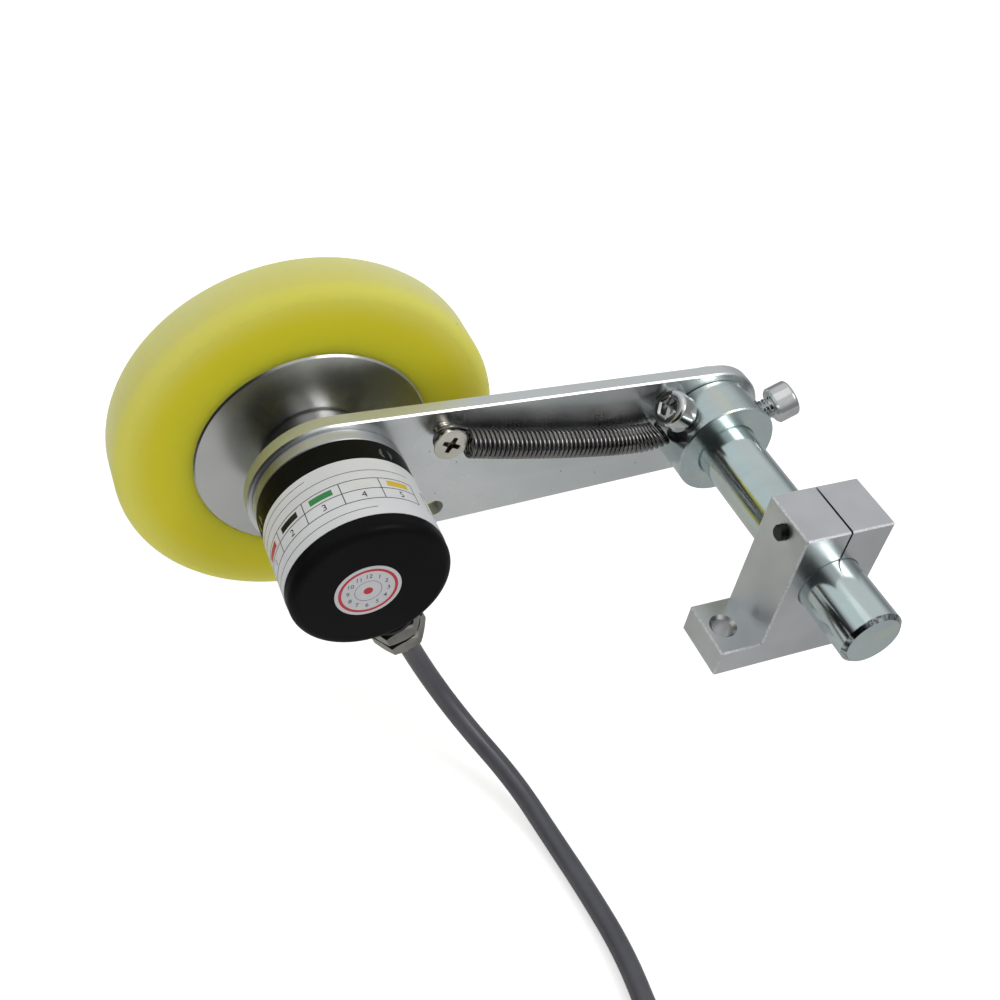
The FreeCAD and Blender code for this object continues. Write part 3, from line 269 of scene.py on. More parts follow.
def add_node(tree, kind, inputs=None, **settings):
    """Add a node with its settings, and link or set its inputs."""
    made = tree.nodes.new(kind)
    for key, value in settings.items():
        setattr(made, key, value)
    for key, value in (inputs or {}).items():
        if is_socket(value):
            tree.links.new(value, made.inputs[key])
        else:
            made.inputs[key].default_value = value
    return made


def math_node(tree, operation, a, b=0.0, clamp=False):
    """Result of one sum on two numbers."""
    settings = {"operation": operation, "use_clamp": clamp}
    return add_node(tree, "ShaderNodeMath", {0: a, 1: b}, **settings).outputs[0]


def times(tree, a, b):
    """Product of two numbers."""
    return math_node(tree, "MULTIPLY", a, b)


def ranged(tree, value, low, high, to_low=0.0, to_high=1.0):
    """A value carried smoothly from one range to another."""
    inputs = {"Value": value, "From Min": low, "From Max": high, "To Min": to_low, "To Max": to_high}
    made = add_node(tree, "ShaderNodeMapRange", inputs, interpolation_type="SMOOTHSTEP")
    return made.outputs["Result"]


def mixed(tree, factor, first, second):
    """Colour between two colours."""
    inputs = {"Factor": factor}
    for key, colour in zip(MIX_COLOURS, (first, second)):
        inputs[key] = colour if is_socket(colour) else (*colour, 1)
    return add_node(tree, "ShaderNodeMix", inputs, data_type="RGBA").outputs[MIX_RESULT]


def vector_node(tree, operation, a, b=(0.0, 0.0, 0.0)):
    """Outputs of one sum on two places."""
    return add_node(tree, "ShaderNodeVectorMath", {0: a, 1: b}, operation=operation).outputs


def split(tree, vector):
    """The X, Y and Z of a place."""
    return add_node(tree, "ShaderNodeSeparateXYZ", {0: vector}).outputs


def joined(tree, **parts):
    """Place made of its X, Y and Z."""
    return add_node(tree, "ShaderNodeCombineXYZ", parts).outputs[0]


def from_y_axis(tree, parts):
    """Distance of a place from the Y axis."""
    flat = joined(tree, X=parts["X"], Z=parts["Z"])
    return vector_node(tree, "LENGTH", flat)["Value"]


def noise(tree, vector, scale, detail):
    """Noise between zero and one."""
    inputs = {"Vector": vector, "Scale": scale, "Detail": detail}
    return add_node(tree, "ShaderNodeTexNoise", inputs).outputs["Fac"]


def new_group(name, inputs, outputs):
    """Empty shader node group with a place to work at, number inputs and number outputs."""
    tree = bpy.data.node_groups.new(name, "ShaderNodeTree")
    tree.interface.new_socket("Vector", in_out="INPUT", socket_type="NodeSocketVector")
    for names, way in ((inputs, "INPUT"), (outputs, "OUTPUT")):
        for socket in names:
            tree.interface.new_socket(socket, in_out=way, socket_type="NodeSocketFloat")
    entry = tree.nodes.new("NodeGroupInput").outputs
    leave = tree.nodes.new("NodeGroupOutput").inputs
    return tree, entry, leave


def put_out_lines(tree, entry, leave, place, tone_share):
    """Fine noise as Height, and coarser noise of the same kind as Tone."""
    for share, output in ((1.0, "Height"), (tone_share, "Tone")):
        scale = times(tree, entry["Lines"], share)
        tree.links.new(noise(tree, place, scale, 3.0), leave[output])


def turning_lines_group():
    """Lathe lines: noise read on (distance from the Y axis, place along it), so that rings lie on
    faces and round sides alike."""
    tree, entry, leave = new_group("turning_lines", ("Lines",), ("Height", "Tone"))
    parts = split(tree, entry["Vector"])
    place = joined(tree, X=from_y_axis(tree, parts), Y=parts["Y"])
    put_out_lines(tree, entry, leave, place, 0.12)
    return tree


def brushing_group():
    """Brush lines: noise stretched along X."""
    tree, entry, leave = new_group("brushing", ("Lines", "Stretch"), ("Height", "Tone"))
    shape = joined(tree, X=entry["Stretch"], Y=1.0, Z=1.0)
    place = vector_node(tree, "MULTIPLY", entry["Vector"], shape)[0]
    put_out_lines(tree, entry, leave, place, 0.1)
    return tree


def speckle_group():
    """Small specks: the middles of a few random cells."""
    tree, entry, leave = new_group("speckle", ("Cells", "Share", "Size"), ("Mask",))
    inputs = {"Vector": entry["Vector"], "Scale": entry["Cells"]}
    cells = add_node(tree, "ShaderNodeTexVoronoi", inputs).outputs
    chance = add_node(tree, "ShaderNodeSeparateColor", {0: cells["Color"]}).outputs[0]
    chosen = math_node(tree, "LESS_THAN", chance, entry["Share"])
    middle = math_node(tree, "LESS_THAN", cells["Distance"], entry["Size"])
    tree.links.new(times(tree, chosen, middle), leave["Mask"])
    return tree


def smudge_group():
    """Soft patches of handling, and a fine grain over them."""
    tree, entry, leave = new_group("smudge", ("Patches", "Grain"), ("Patch", "Grain"))
    patch = noise(tree, entry["Vector"], entry["Patches"], 2.0)
    grain = noise(tree, entry["Vector"], entry["Grain"], 2.0)
    tree.links.new(ranged(tree, patch, 0.25, 0.75), leave["Patch"])
    tree.links.new(grain, leave["Grain"])
    return tree


def worn_edges_group():
    """Bright edges of a box centred on the place, partly rubbed metal and partly a painted highlight:
    where two of its faces are both within Width, broken up by noise."""
    sizes = ("Half X", "Half Y", "Half Z", "Width")
    tree, entry, leave = new_group("worn_and_highlit_edges", sizes, ("Mask",))
    parts = split(tree, entry["Vector"])
    near = 0.0
    for axis in "XYZ":
        place = math_node(tree, "ABSOLUTE", parts[axis])
        beyond = math_node(tree, "SUBTRACT", place, entry["Half " + axis])
        share = math_node(tree, "DIVIDE", math_node(tree, "ABSOLUTE", beyond), entry["Width"])
        near = math_node(tree, "ADD", near, math_node(tree, "SUBTRACT", 1.0, share, clamp=True))
    edge = math_node(tree, "SUBTRACT", near, 1.0, clamp=True)
    broken = ranged(tree, noise(tree, entry["Vector"], 1400.0, 3.0), 0.38, 0.58, 0.1, 1.0)
    tree.links.new(times(tree, edge, broken), leave["Mask"])
    return tree


GROUPS = {
    "turning": turning_lines_group(),
    "brushing": brushing_group(),
    "speckle": speckle_group(),
    "smudge": smudge_group(),
    # worn: bright edges that are partly rubbed metal and partly a painted highlight
    "worn": worn_edges_group(),
}


# Kinds of finish

class Finish:
    """A material being built: its tree, its shader and its place coordinates."""

    def __init__(self, name, centre=(0, 0, 0), **constants):
        self.material = bpy.data.materials.new(name)
        self.material.use_nodes = True
        self.tree = self.material.node_tree
        self.shader = self.tree.nodes["Principled BSDF"]
        source = self.tree.nodes.new("ShaderNodeTexCoord").outputs
        shift = tuple(-c * MM for c in centre)
        inputs = {"Vector": source["Object"], "Location": shift}
        self.uv = source["UV"]
        self.place = add_node(self.tree, "ShaderNodeMapping", inputs).outputs[0]
        for socket, value in constants.items():
            self.shader.inputs[socket.replace("_", " ")].default_value = value

    def effect(self, group, vector=None, **values):
        """Outputs of a shared effect placed in this material."""
        inputs = {key.replace("_", " "): value for key, value in values.items()}
        inputs["Vector"] = self.place if vector is None else vector
        return add_node(self.tree, "ShaderNodeGroup", inputs, node_tree=GROUPS[group]).outputs

    def feed(self, socket, value):
        """Link a value to one of the shader's sockets."""
        self.tree.links.new(value, self.shader.inputs[socket])

    def colour(self, factor, first, second):
        """Base colour between two colours."""
        self.feed("Base Color", mixed(self.tree, factor, first, second))

    def colour_so_far(self):
        """What feeds the base colour."""
        return self.shader.inputs["Base Color"].links[0].from_socket

    def rough(self, value, low, high):
        """Roughness that follows a value between two numbers."""
        self.feed("Roughness", ranged(self.tree, value, 0.0, 1.0, low, high))

    def relief(self, height, depth):
        """Bumps of a depth in millimetres."""
        inputs = {"Height": height, "Distance": depth * MM, "Strength": 1.0}
        self.feed("Normal", add_node(self.tree, "ShaderNodeBump", inputs).outputs["Normal"])

    def smudged(self, light, dark, rough, patches, grain, depth):
        """Soft patches between two tones and two roughnesses, and a fine grain."""
        smudge = self.effect("smudge", Patches=patches, Grain=grain)
        self.colour(smudge["Patch"], light, dark)
        self.rough(smudge["Patch"], *rough)
        self.relief(smudge["Grain"], depth)


def turned_metal(name, axis, light, dark, rough, lines, depth, anisotropy):
    """Metal turned about a Y axis: lathe lines that spread gloss across them, rings of tone and soft
    handling patches."""
    made = Finish(name, centre=(axis[0], 0, axis[1]), Metallic=1.0, Anisotropic=anisotropy,
                  Anisotropic_Rotation=0.25)
    lathe = made.effect("turning", Lines=lines)
    smudge = made.effect("smudge", Patches=90.0, Grain=4000.0)
    made.colour(times(made.tree, lathe["Tone"], smudge["Patch"]), light, dark)
    made.rough(smudge["Patch"], *rough)
    made.relief(lathe["Height"], depth)
    tangent = add_node(made.tree, "ShaderNodeTangent", direction_type="RADIAL", axis="Y")
    made.feed("Tangent", tangent.outputs[0])
    return made


def plain_metal(name, light, dark, rough, depth=0.002, patches=150.0, metallic=1.0):
    """Plated or drawn metal: soft patches of tone and a very fine grain."""
    made = Finish(name, Metallic=metallic)
    made.smudged(light, dark, rough, patches, 5000.0, depth)
    return made


def screw_metal(name, recess, light, dark, rough, *settings):
    """Plated metal of a screw, with painted shade in its recess and in its thread's roots, as its first
    UV says.
    """
    made = plain_metal(name, light, dark, rough, *settings)
    shade = split(made.tree, made.uv)["X"]
    # Painted shade: the colour goes to the recess colour where the first UV is one, in the recess and
    # the thread's roots
    made.colour(shade, made.colour_so_far(), recess)
    return made


def moulded(name, light, dark, rough, grain=4000.0, depth=0.006, **constants):
    """Moulded plastic or rubber: fine grain and slight clouds of tone."""
    made = Finish(name, **constants)
    made.smudged(light, dark, rough, 120.0, grain, depth)
    return made


# Finishes of single pieces, with their places in metres

TYRE_SIDE = (0.038, 0.0480)
TYRE_SHOULDER = (0.043, 0.0475)
TYRE_WIDTH = (-0.0075, 0.0085)
TYRE_YELLOW = (0.65, 0.60, 0.010)
# Pale colour of the tyre's painted sheen at its tread and back edge
TYRE_PAINTED_SHEEN = (0.66, 0.67, 0.36)
TYRE_SPECK = (0.12, 0.11, 0.03)
ARM_MIDDLE = 0.0549
ARM_CUT_EDGE = (0.0017, 0.0015)
ARM_TONES = ((0.77, 0.79, 0.79), (0.66, 0.69, 0.69))
ARM_PIT = (0.10, 0.10, 0.10)
BLOCK_COLUMN = {"Half_X": 0.0125, "Half_Y": 0.008, "Half_Z": 0.044}
BLOCK_FOOT = {"Half_X": 0.024, "Half_Y": 0.008, "Half_Z": 0.008}
BLOCK_EDGE = 0.0006
BLOCK_ABOVE_FOOT = 0.0083
BLOCK_BESIDE_COLUMN = 0.0128
BLOCK_TONES = ((0.67, 0.68, 0.69), (0.60, 0.61, 0.62))
BLOCK_WORN_AND_HIGHLIGHT = (0.95, 0.96, 0.97)
ZINC_TONES = ((0.64, 0.72, 0.715), (0.53, 0.60, 0.61))
ZINC_WARM = (0.74, 0.73, 0.60)
ZINC_MARK = (0.86, 0.88, 0.90)
ZINC_DULL = (0.13, 0.14, 0.145)
ZINC_DRAWN = (1.0, 0.15, 1.0)
SHAFT_END = (-0.0253, -0.0256)
SHAFT_RIM = (0.0068, 0.0071)


def tyre_finish():
    """Cast polyurethane: translucent deep yellow, paler towards the tread and from its front edge to its
    back one as a painted sheen of grazing light clouded by soft patches, a few specks."""
    made = Finish("tyre_yellow", centre=(WHEEL_AXIS[0], WHEEL_MIDDLE, WHEEL_AXIS[1]),
                  Specular_IOR_Level=0.2, Subsurface_Weight=0.7, Subsurface_Scale=0.020,
                  Subsurface_Radius=(1.0, 0.85, 0.12), Sheen_Weight=0.25, Sheen_Roughness=0.5,
                  Sheen_Tint=(0.95, 0.95, 0.88, 1))
    tree = made.tree
    parts = split(tree, made.place)
    radius = from_y_axis(tree, parts)
    smudge = made.effect("smudge", Patches=30.0, Grain=2500.0)
    # Painted sheen: the colour pales towards the tread and the back edge, as grazing light makes it look
    outwards = ranged(tree, radius, *TYRE_SIDE, 0.0, 0.4)
    backwards = ranged(tree, parts["Y"], *TYRE_WIDTH, 0.0, 0.6)
    across = times(tree, backwards, ranged(tree, radius, *TYRE_SHOULDER))
    painted_sheen = math_node(tree, "ADD", outwards, across)
    cloudy_painted_sheen = times(tree, painted_sheen, ranged(tree, smudge["Patch"], 0.0, 1.0, 0.8, 1.0))
    yellow = mixed(tree, cloudy_painted_sheen, TYRE_YELLOW, TYRE_PAINTED_SHEEN)
    specks = made.effect("speckle", Cells=260.0, Share=0.03, Size=0.045)["Mask"]
    made.colour(specks, yellow, TYRE_SPECK)
    made.rough(cloudy_painted_sheen, 0.58, 0.75)
    made.relief(smudge["Grain"], 0.006)
    return made


def arm_finish():
    """Satin aluminium plate: faint brush lines along the arm, small pits, a duller cut edge."""
    made = Finish("arm_aluminium", Metallic=1.0)
    tree = made.tree
    brush = made.effect("brushing", Lines=2500.0, Stretch=0.04)
    smudge = made.effect("smudge", Patches=50.0, Grain=5000.0)
    pits = made.effect("speckle", Cells=650.0, Share=0.045, Size=0.12)["Mask"]
    plate = mixed(tree, times(tree, brush["Tone"], smudge["Patch"]), *ARM_TONES)
    made.colour(pits, plate, ARM_PIT)
    from_middle = math_node(tree, "SUBTRACT", split(tree, made.place)["Y"], ARM_MIDDLE)
    cut = ranged(tree, math_node(tree, "ABSOLUTE", from_middle), *ARM_CUT_EDGE, 0.0, 0.22)
    satin = ranged(tree, smudge["Patch"], 0.0, 1.0, 0.26, 0.33)
    made.feed("Roughness", math_node(tree, "ADD", satin, cut))
    made.relief(math_node(tree, "SUBTRACT", brush["Height"], times(tree, pits, 8.0)), 0.0012)
    return made


def block_finish():
    """Clear anodised block: fine grain, and bright edges on its column and its foot that are partly
    rubbed metal and partly a painted highlight.
    """
    made = Finish("anodised_block", Metallic=1.0)
    tree = made.tree
    smudge = made.effect("smudge", Patches=70.0, Grain=2500.0)
    parts = split(tree, made.place)
    above = math_node(tree, "GREATER_THAN", parts["Z"], BLOCK_ABOVE_FOOT)
    from_middle = math_node(tree, "ABSOLUTE", parts["X"])
    beside = math_node(tree, "GREATER_THAN", from_middle, BLOCK_BESIDE_COLUMN)
    column = times(tree, made.effect("worn", Width=BLOCK_EDGE, **BLOCK_COLUMN)["Mask"], above)
    foot = times(tree, made.effect("worn", Width=BLOCK_EDGE, **BLOCK_FOOT)["Mask"], beside)
    edge = math_node(tree, "MAXIMUM", column, foot)
    # Edges painted near white and less metallic: rubbed metal and a painted highlight of the chamfers
    # catching light
    made.colour(edge, mixed(tree, smudge["Patch"], *BLOCK_TONES), BLOCK_WORN_AND_HIGHLIGHT)
    made.feed("Metallic", math_node(tree, "SUBTRACT", 1.0, times(tree, edge, 0.75)))
    worn = math_node(tree, "SUBTRACT", smudge["Patch"], times(tree, edge, 0.5), clamp=True)
    made.rough(worn, 0.28, 0.36)
    made.relief(smudge["Grain"], 0.002)
    return made


def zinc_finish(name, rough):
    """Bright zinc plating on drawn steel: bluish, with ripples and faint yellow clouds drawn out along
    the shaft's axis, small marks, and a dull worn edge at the shaft's free end."""
    made = turned_metal(name, SHAFT_AXIS, *ZINC_TONES, rough, 3000.0, 0.001, 0.0)
    tree = made.tree
    drawn = vector_node(tree, "MULTIPLY", made.place, ZINC_DRAWN)[0]
    clouds = made.effect("smudge", vector=drawn, Patches=160.0, Grain=900.0)
    warm = ranged(tree, clouds["Patch"], 0.55, 1.0, 0.0, 0.5)
    tinted = mixed(tree, warm, made.colour_so_far(), ZINC_WARM)
    marks = made.effect("speckle", Cells=900.0, Share=0.05, Size=0.16)["Mask"]
    marked = mixed(tree, marks, tinted, ZINC_MARK)
    parts = split(tree, made.place)
    near_end = ranged(tree, parts["Y"], *SHAFT_END)
    rim = times(tree, near_end, ranged(tree, from_y_axis(tree, parts), *SHAFT_RIM))
    dull = times(tree, rim, ranged(tree, clouds["Grain"], 0.40, 0.62, 1.0, 0.3))
    made.colour(dull, marked, ZINC_DULL)
    ripple = made.effect("smudge", vector=drawn, Patches=420.0, Grain=1600.0)
    height = math_node(tree, "ADD", ripple["Patch"], times(tree, ripple["Grain"], 0.2))
    made.relief(height, 0.010)
    return made


# Finishes by table, each row in the order that its function takes

TURNED = {
    "hub_aluminium": (WHEEL_AXIS, (0.58, 0.58, 0.57), (0.53, 0.53, 0.52), (0.24, 0.27),
                      3500.0, 0.0025, 0.7),
    "flange_aluminium": (WHEEL_AXIS, (0.66, 0.67, 0.68), (0.48, 0.49, 0.50), (0.38, 0.48),
                         5000.0, 0.003, 0.8),
    "bearing_steel": (WHEEL_AXIS, (0.62, 0.63, 0.64), (0.5, 0.51, 0.52), (0.12, 0.22),
                      5000.0, 0.002, 0.4),
    "bush_bronze": (SHAFT_AXIS, (0.55, 0.36, 0.15), (0.40, 0.25, 0.10), (0.3, 0.45),
                    3000.0, 0.004, 0.3),
}
# Each screw finish is the painted shade of its recess and thread roots, then its light and dark tones,
# its roughness and its further settings
SCREWS = {
    "black_screw": ((0.004, 0.004, 0.004), (0.009, 0.009, 0.009), (0.02, 0.019, 0.018),
                    (0.30, 0.45), 0.003, 250.0, 0.4),
    "plated_screw": ((0.56, 0.56, 0.56), (0.74, 0.74, 0.73), (0.56, 0.56, 0.56), (0.10, 0.18)),
    "post_nickel": ((0.22, 0.19, 0.14), (0.76, 0.73, 0.66), (0.64, 0.60, 0.52), (0.20, 0.30)),
    "small_screw": ((0.005, 0.005, 0.005), (0.28, 0.28, 0.28), (0.19, 0.19, 0.19), (0.25, 0.4),
                    0.003, 400.0),
}
PLAIN = {
    "spring_steel": ((0.27, 0.26, 0.255), (0.15, 0.145, 0.14), (0.12, 0.20)),
    "gland_nickel": ((0.30, 0.285, 0.26), (0.17, 0.16, 0.15), (0.05, 0.10)),
    "tinned": ((0.72, 0.71, 0.69), (0.6, 0.58, 0.55), (0.25, 0.4)),
}
MOULDED = {
    "label_foil": ((0.74, 0.75, 0.77), (0.69, 0.70, 0.72), (0.30, 0.42), 1500.0, 0.003),
    "sticker": ((0.58, 0.58, 0.60), (0.53, 0.53, 0.55), (0.32, 0.45), 1500.0, 0.003),
    "board_green": ((0.01, 0.12, 0.04), (0.02, 0.20, 0.06), (0.3, 0.45)),
    "sensor_black": ((0.012, 0.012, 0.012), (0.02, 0.02, 0.02), (0.35, 0.5)),
    "disc_glass": ((0.30, 0.30, 0.31), (0.22, 0.22, 0.23), (0.08, 0.14)),
    "seal_rubber": ((0.015, 0.015, 0.015), (0.03, 0.03, 0.03), (0.55, 0.75)),
    "cable_grey": ((0.070, 0.070, 0.082), (0.088, 0.088, 0.100), (0.27, 0.33), 2500.0, 0.006),
    "tie_black": ((0.012, 0.012, 0.012), (0.02, 0.02, 0.02), (0.35, 0.5)),
    "lead_red": ((0.50, 0.012, 0.012), (0.60, 0.02, 0.02), (0.3, 0.42)),
    "lead_black": ((0.012, 0.012, 0.012), (0.02, 0.02, 0.02), (0.3, 0.42)),
    "lead_green": ((0.02, 0.22, 0.05), (0.03, 0.28, 0.07), (0.3, 0.42)),
    "lead_white": ((0.75, 0.75, 0.73), (0.68, 0.68, 0.66), (0.3, 0.42)),
    "lead_yellow": ((0.72, 0.52, 0.02), (0.64, 0.45, 0.02), (0.3, 0.42)),
    "ink_black": ((0.018, 0.018, 0.02), (0.03, 0.03, 0.03), (0.35, 0.5), 1500.0, 0.002),
    "ink_red": ((0.46, 0.018, 0.03), (0.52, 0.03, 0.045), (0.35, 0.5), 1500.0, 0.002),
}
COVER_BLACK = ((0.0048, 0.0048, 0.0050), (0.0062, 0.0062, 0.0065), (0.34, 0.46))
OWN_FINISH = {"encoder_flange": "flange_aluminium", "set_collar": "collar_zinc"}


def all_materials():
    """Every material by its name."""
    made = {
        "anodised_block": block_finish(),
        "arm_aluminium": arm_finish(),
        "tyre_yellow": tyre_finish(),
        "zinc_plate": zinc_finish("zinc_plate", (0.10, 0.20)),
        "collar_zinc": zinc_finish("collar_zinc", (0.18, 0.28)),
        "cover_black": moulded("cover_black", *COVER_BLACK, Specular_IOR_Level=0.06),
    }
    tables = ((turned_metal, TURNED), (screw_metal, SCREWS), (plain_metal, PLAIN), (moulded, MOULDED))
    for make, table in tables:
        for name, values in table.items():
            made[name] = make(name, *values)
    return {name: finish.material for name, finish in made.items()}


def dress_nodes():
    """Each node of the model gets a finish of its own, or the one of its slot in the record."""
    for entry in frame["record"]["subparts"]:
        node = frame["nodes"][entry["node"]]
        finish = OWN_FINISH.get(entry["node"], entry["material_slot"])
        node.data.materials.clear()
        node.data.materials.append(MATERIAL[finish])


MATERIAL = all_materials()
dress_nodes()
cable.data.materials.append(MATERIAL["cable_grey"])


# Spring: a close wound coil on a sagging line, with a hook round the post and one round the screw

SPRING_LEFT = np.array((-72.469, 48.125, 37.719))
SPRING_RIGHT = np.array((-16.974, 48.2, 30.218))
SPRING_SAG = 1.0
SPRING_END_LIFT = 2.0
SPRING_LIFT_POWER = 14
SPRING_COIL_R = 3.175
SPRING_WIRE_R = 0.575
SPRING_WIRE_SIDES = 10
SPRING_SHARP = 80
SPRING_START = 55.5
SPRING_TURNS = 43.83
SPRING_POINTS_PER_TURN = 20
SPRING_LEAN = 0.5
SPRING_LEAN_FROM = 0.72
HOOK_POINTS = 64
POST_HOOK_R = 3.425
POST_HOOK_CENTRE = np.array((-76.923, 49.925, 38.861))
POST_HOOK_ANGLES = (-40, -290)
POST_BRIDGE_REACH = 2.5
SCREW_HOOK_R = 3.725
SCREW_HOOK_CENTRE = np.array((-12.058, 47.7, 35.321))
SCREW_HOOK_ANGLES = (90, 390)
SCREW_BRIDGE_REACH = 1.5
SCREW_SIDEWAYS = np.array((-0.574, 0.0, -0.819))
RUN_POINTS = 12
RUN_GAP = 0.2
BRIDGE_POINTS = 24
ALONG_Y = np.array((0.0, 1.0, 0.0))


def hook(centre, first, second, radius, angles):
    """Points on a circle from one angle to another, and their directions from its centre."""
    angle = np.radians(np.linspace(*angles, HOOK_POINTS))[:, None]
    away = np.cos(angle) * first + np.sin(angle) * second
    return centre + radius * away, away


def bridge(path, guide, next_path, next_guide, reach):
    """Cubic curve from the end of one path to the start of the next, leaving and arriving along them
    with the given reach, its guide turning from one to the other."""
    leave = reach * unit(path[-1] - path[-2])
    arrive = reach * unit(next_path[1] - next_path[0])
    t = np.linspace(0, 1, BRIDGE_POINTS + 2)[1:-1, None]
    points = ((2 * t ** 3 - 3 * t ** 2 + 1) * path[-1] + (t ** 3 - 2 * t ** 2 + t) * leave
              + (3 * t ** 2 - 2 * t ** 3) * next_path[0] + (t ** 3 - t ** 2) * arrive)
    return points, (1 - t) * guide[-1] + t * next_guide[0]


def spring_coil():
    """Helix round a sagging line: at a share s of the way the line hangs below its chord by four times
    the sag times s times (1 - s), and lifts steeply near its end by a high power of s. The wire stands
    off it by the coil's radius at the start angle plus s times all turns. Towards the end the turns
    lean: what stands above the line is set back along it, what hangs below is set forward."""
    s = np.linspace(0, 1, int(SPRING_TURNS * SPRING_POINTS_PER_TURN))[:, None]
    rise = SPRING_END_LIFT * (s ** SPRING_LIFT_POWER - s) - 4 * SPRING_SAG * s * (1 - s)
    centre = SPRING_LEFT + (SPRING_RIGHT - SPRING_LEFT) * s + rise * np.array((0, 0, 1))
    along = unit(np.gradient(centre, axis=0))
    side = unit(ALONG_Y - (along @ ALONG_Y)[:, None] * along)
    up = np.cross(along, side)
    angle = math.radians(SPRING_START) + 2 * np.pi * SPRING_TURNS * s
    away = np.cos(angle) * side + np.sin(angle) * up
    share = np.clip((s - SPRING_LEAN_FROM) / (1 - SPRING_LEAN_FROM), 0, 1)
    lean = SPRING_LEAN * share ** 2 * (3 - 2 * share)
    return centre + SPRING_COIL_R * (away - lean * np.sin(angle) * along), away


def straight_in(end, back, length):
    """Points of a straight run of a length that arrives at an end, and a guide that stands off to the
    back."""
    points = end + np.linspace(length, RUN_GAP, RUN_POINTS)[:, None] * SCREW_SIDEWAYS
    return points, np.tile(back, (RUN_POINTS, 1))


def add_spring():
    """The whole wire: hook round the post, coil, hook round the collar screw."""
    along = unit((SPRING_RIGHT - POST_HOOK_CENTRE) * (1, 0, 1))
    upward = np.cross(along, ALONG_Y)
    first = hook(POST_HOOK_CENTRE, along, upward, POST_HOOK_R, POST_HOOK_ANGLES)
    coil = spring_coil()
    run = straight_in(SCREW_HOOK_CENTRE + SCREW_HOOK_R * ALONG_Y, ALONG_Y, SCREW_HOOK_R)
    last = hook(SCREW_HOOK_CENTRE, SCREW_SIDEWAYS, ALONG_Y, SCREW_HOOK_R, SCREW_HOOK_ANGLES)
    onto_coil = bridge(*first, *coil, POST_BRIDGE_REACH)
    off_coil = bridge(*coil, *run, SCREW_BRIDGE_REACH)
    order = [first, onto_coil, coil, off_coil, run, last]
    path = np.concatenate([points for points, _ in order])
    guide = np.concatenate([away for _, away in order])
    wire = wire_along(path, guide, SPRING_WIRE_R, SPRING_WIRE_SIDES)
    spring = put("tension_spring", [wire], MATERIAL["spring_steel"], stands_for=("spring",),
                 sharp=SPRING_SHARP)
    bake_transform(spring)


add_spring()


# Screws: each is one surface over the angle round its axis and the place along its outline

SCREW_ANGLE = np.linspace(0, 2 * np.pi, 144, endpoint=False)
SCREW_SHARP = 28
THREAD_ROWS_PER_PITCH = 10
THREAD_DEPTH = 0.55
COLLAR_SCREW = {"radius": 3.0, "pitch": 1.0, "length": 7.25, "socket": 5.0}
# Each place is an angle, the tip's distance from the axis, its Y and the screw's spin
COLLAR_SCREW_PLACES = ((145.0, 8.05, 47.7, 12.0), (25.0, 9.8, 46.7, 40.0))
CLAMP_SCREW = {"radius": 2.0, "pitch": 0.7, "length": 22.62, "socket": 3.0, "threaded": 5.0}
CLAMP_TIP = (-14.3, 0.0, 39.5)
CLAMP_SPIN = 10.0
POST_SCREW = {"radius": 2.5, "pitch": 0.8, "length": 9.9, "head_r": 4.35, "head_height": 2.3}
POST_TIP = (-77.22, 56.9, 38.90)
POST_SPIN = -26.0
COVER_SCREW = {"radius": 1.0, "pitch": 0.4, "length": 4.51, "head_r": 1.9, "head_height": 1.2}
COVER_SCREW_ANGLES = (57.0, 177.0, 297.0)
# Each tip that follows is its distance from the wheel's axis and its Y
COVER_SCREW_TIP = (14.47, 45.3)
COVER_SCREW_SPIN = 20.0
FLANGE_SCREW = {"radius": 1.5, "pitch": 0.5, "length": 7.0, "head_r": 2.8, "head_height": 1.7}
FLANGE_SCREW_ANGLES = (30.0, 150.0, 270.0)
FLANGE_SCREW_TIP = (15.0, 49.9)


def hexagon_outline(across_flats):
    """Radius of a hexagon at each angle: half its width over the cosine of the angle from a side's
    middle."""
    from_side = (SCREW_ANGLE + np.pi / 6) % (np.pi / 3) - np.pi / 6
    return across_flats / 2 / np.cos(from_side)


def cross_outline(reach, arm):
    """Radius of a cross at each angle: the side of an arm, filled out by half its width towards the
    inside corners, or the arm's round end."""
    from_arm = np.abs((SCREW_ANGLE + np.pi / 4) % (np.pi / 2) - np.pi / 4)
    side = np.hypot(arm / 2 / np.maximum(np.sin(from_arm), 1e-6), arm / 2)
    return np.minimum(reach, side)


def thread_rows(radius, pitch, start, end):
    """Rows of a screw thread: the radius falls from its crest in a triangle wave of the height over the
    pitch less the share of a turn, and so does the light, down to the root."""
    height = np.arange(start, end, pitch / THREAD_ROWS_PER_PITCH)[:, None]
    wave = np.abs(2 * ((height / pitch - SCREW_ANGLE / 2 / np.pi) % 1) - 1)
    return list(zip(radius - THREAD_DEPTH * pitch * wave, height[:, 0], wave))


def screw_surface(rows, base, direction, spin):
    """Closed surface through rows of (radius at each angle, height, shade), stood on a base. Its first
    UV is the shade, which is one in the recess and in the roots of the thread."""
    radius, height, shade = (np.array([row[k] + 0 * SCREW_ANGLE for row in rows]) for k in range(3))
    grid = np.stack([radius * np.cos(SCREW_ANGLE), radius * np.sin(SCREW_ANGLE), height], axis=-1)
    placed = stood(grid, base, direction, spin)
    points, faces, uv = surface(placed, round_columns=True, capped=True)
    uv[:, 0] = shade.ravel()[np.concatenate(faces)]
    return points, faces, uv


def shaded(rows, shade):
    """Rows of (radius, height) with one shade for all."""
    return [(radius, height, shade) for radius, height in rows]


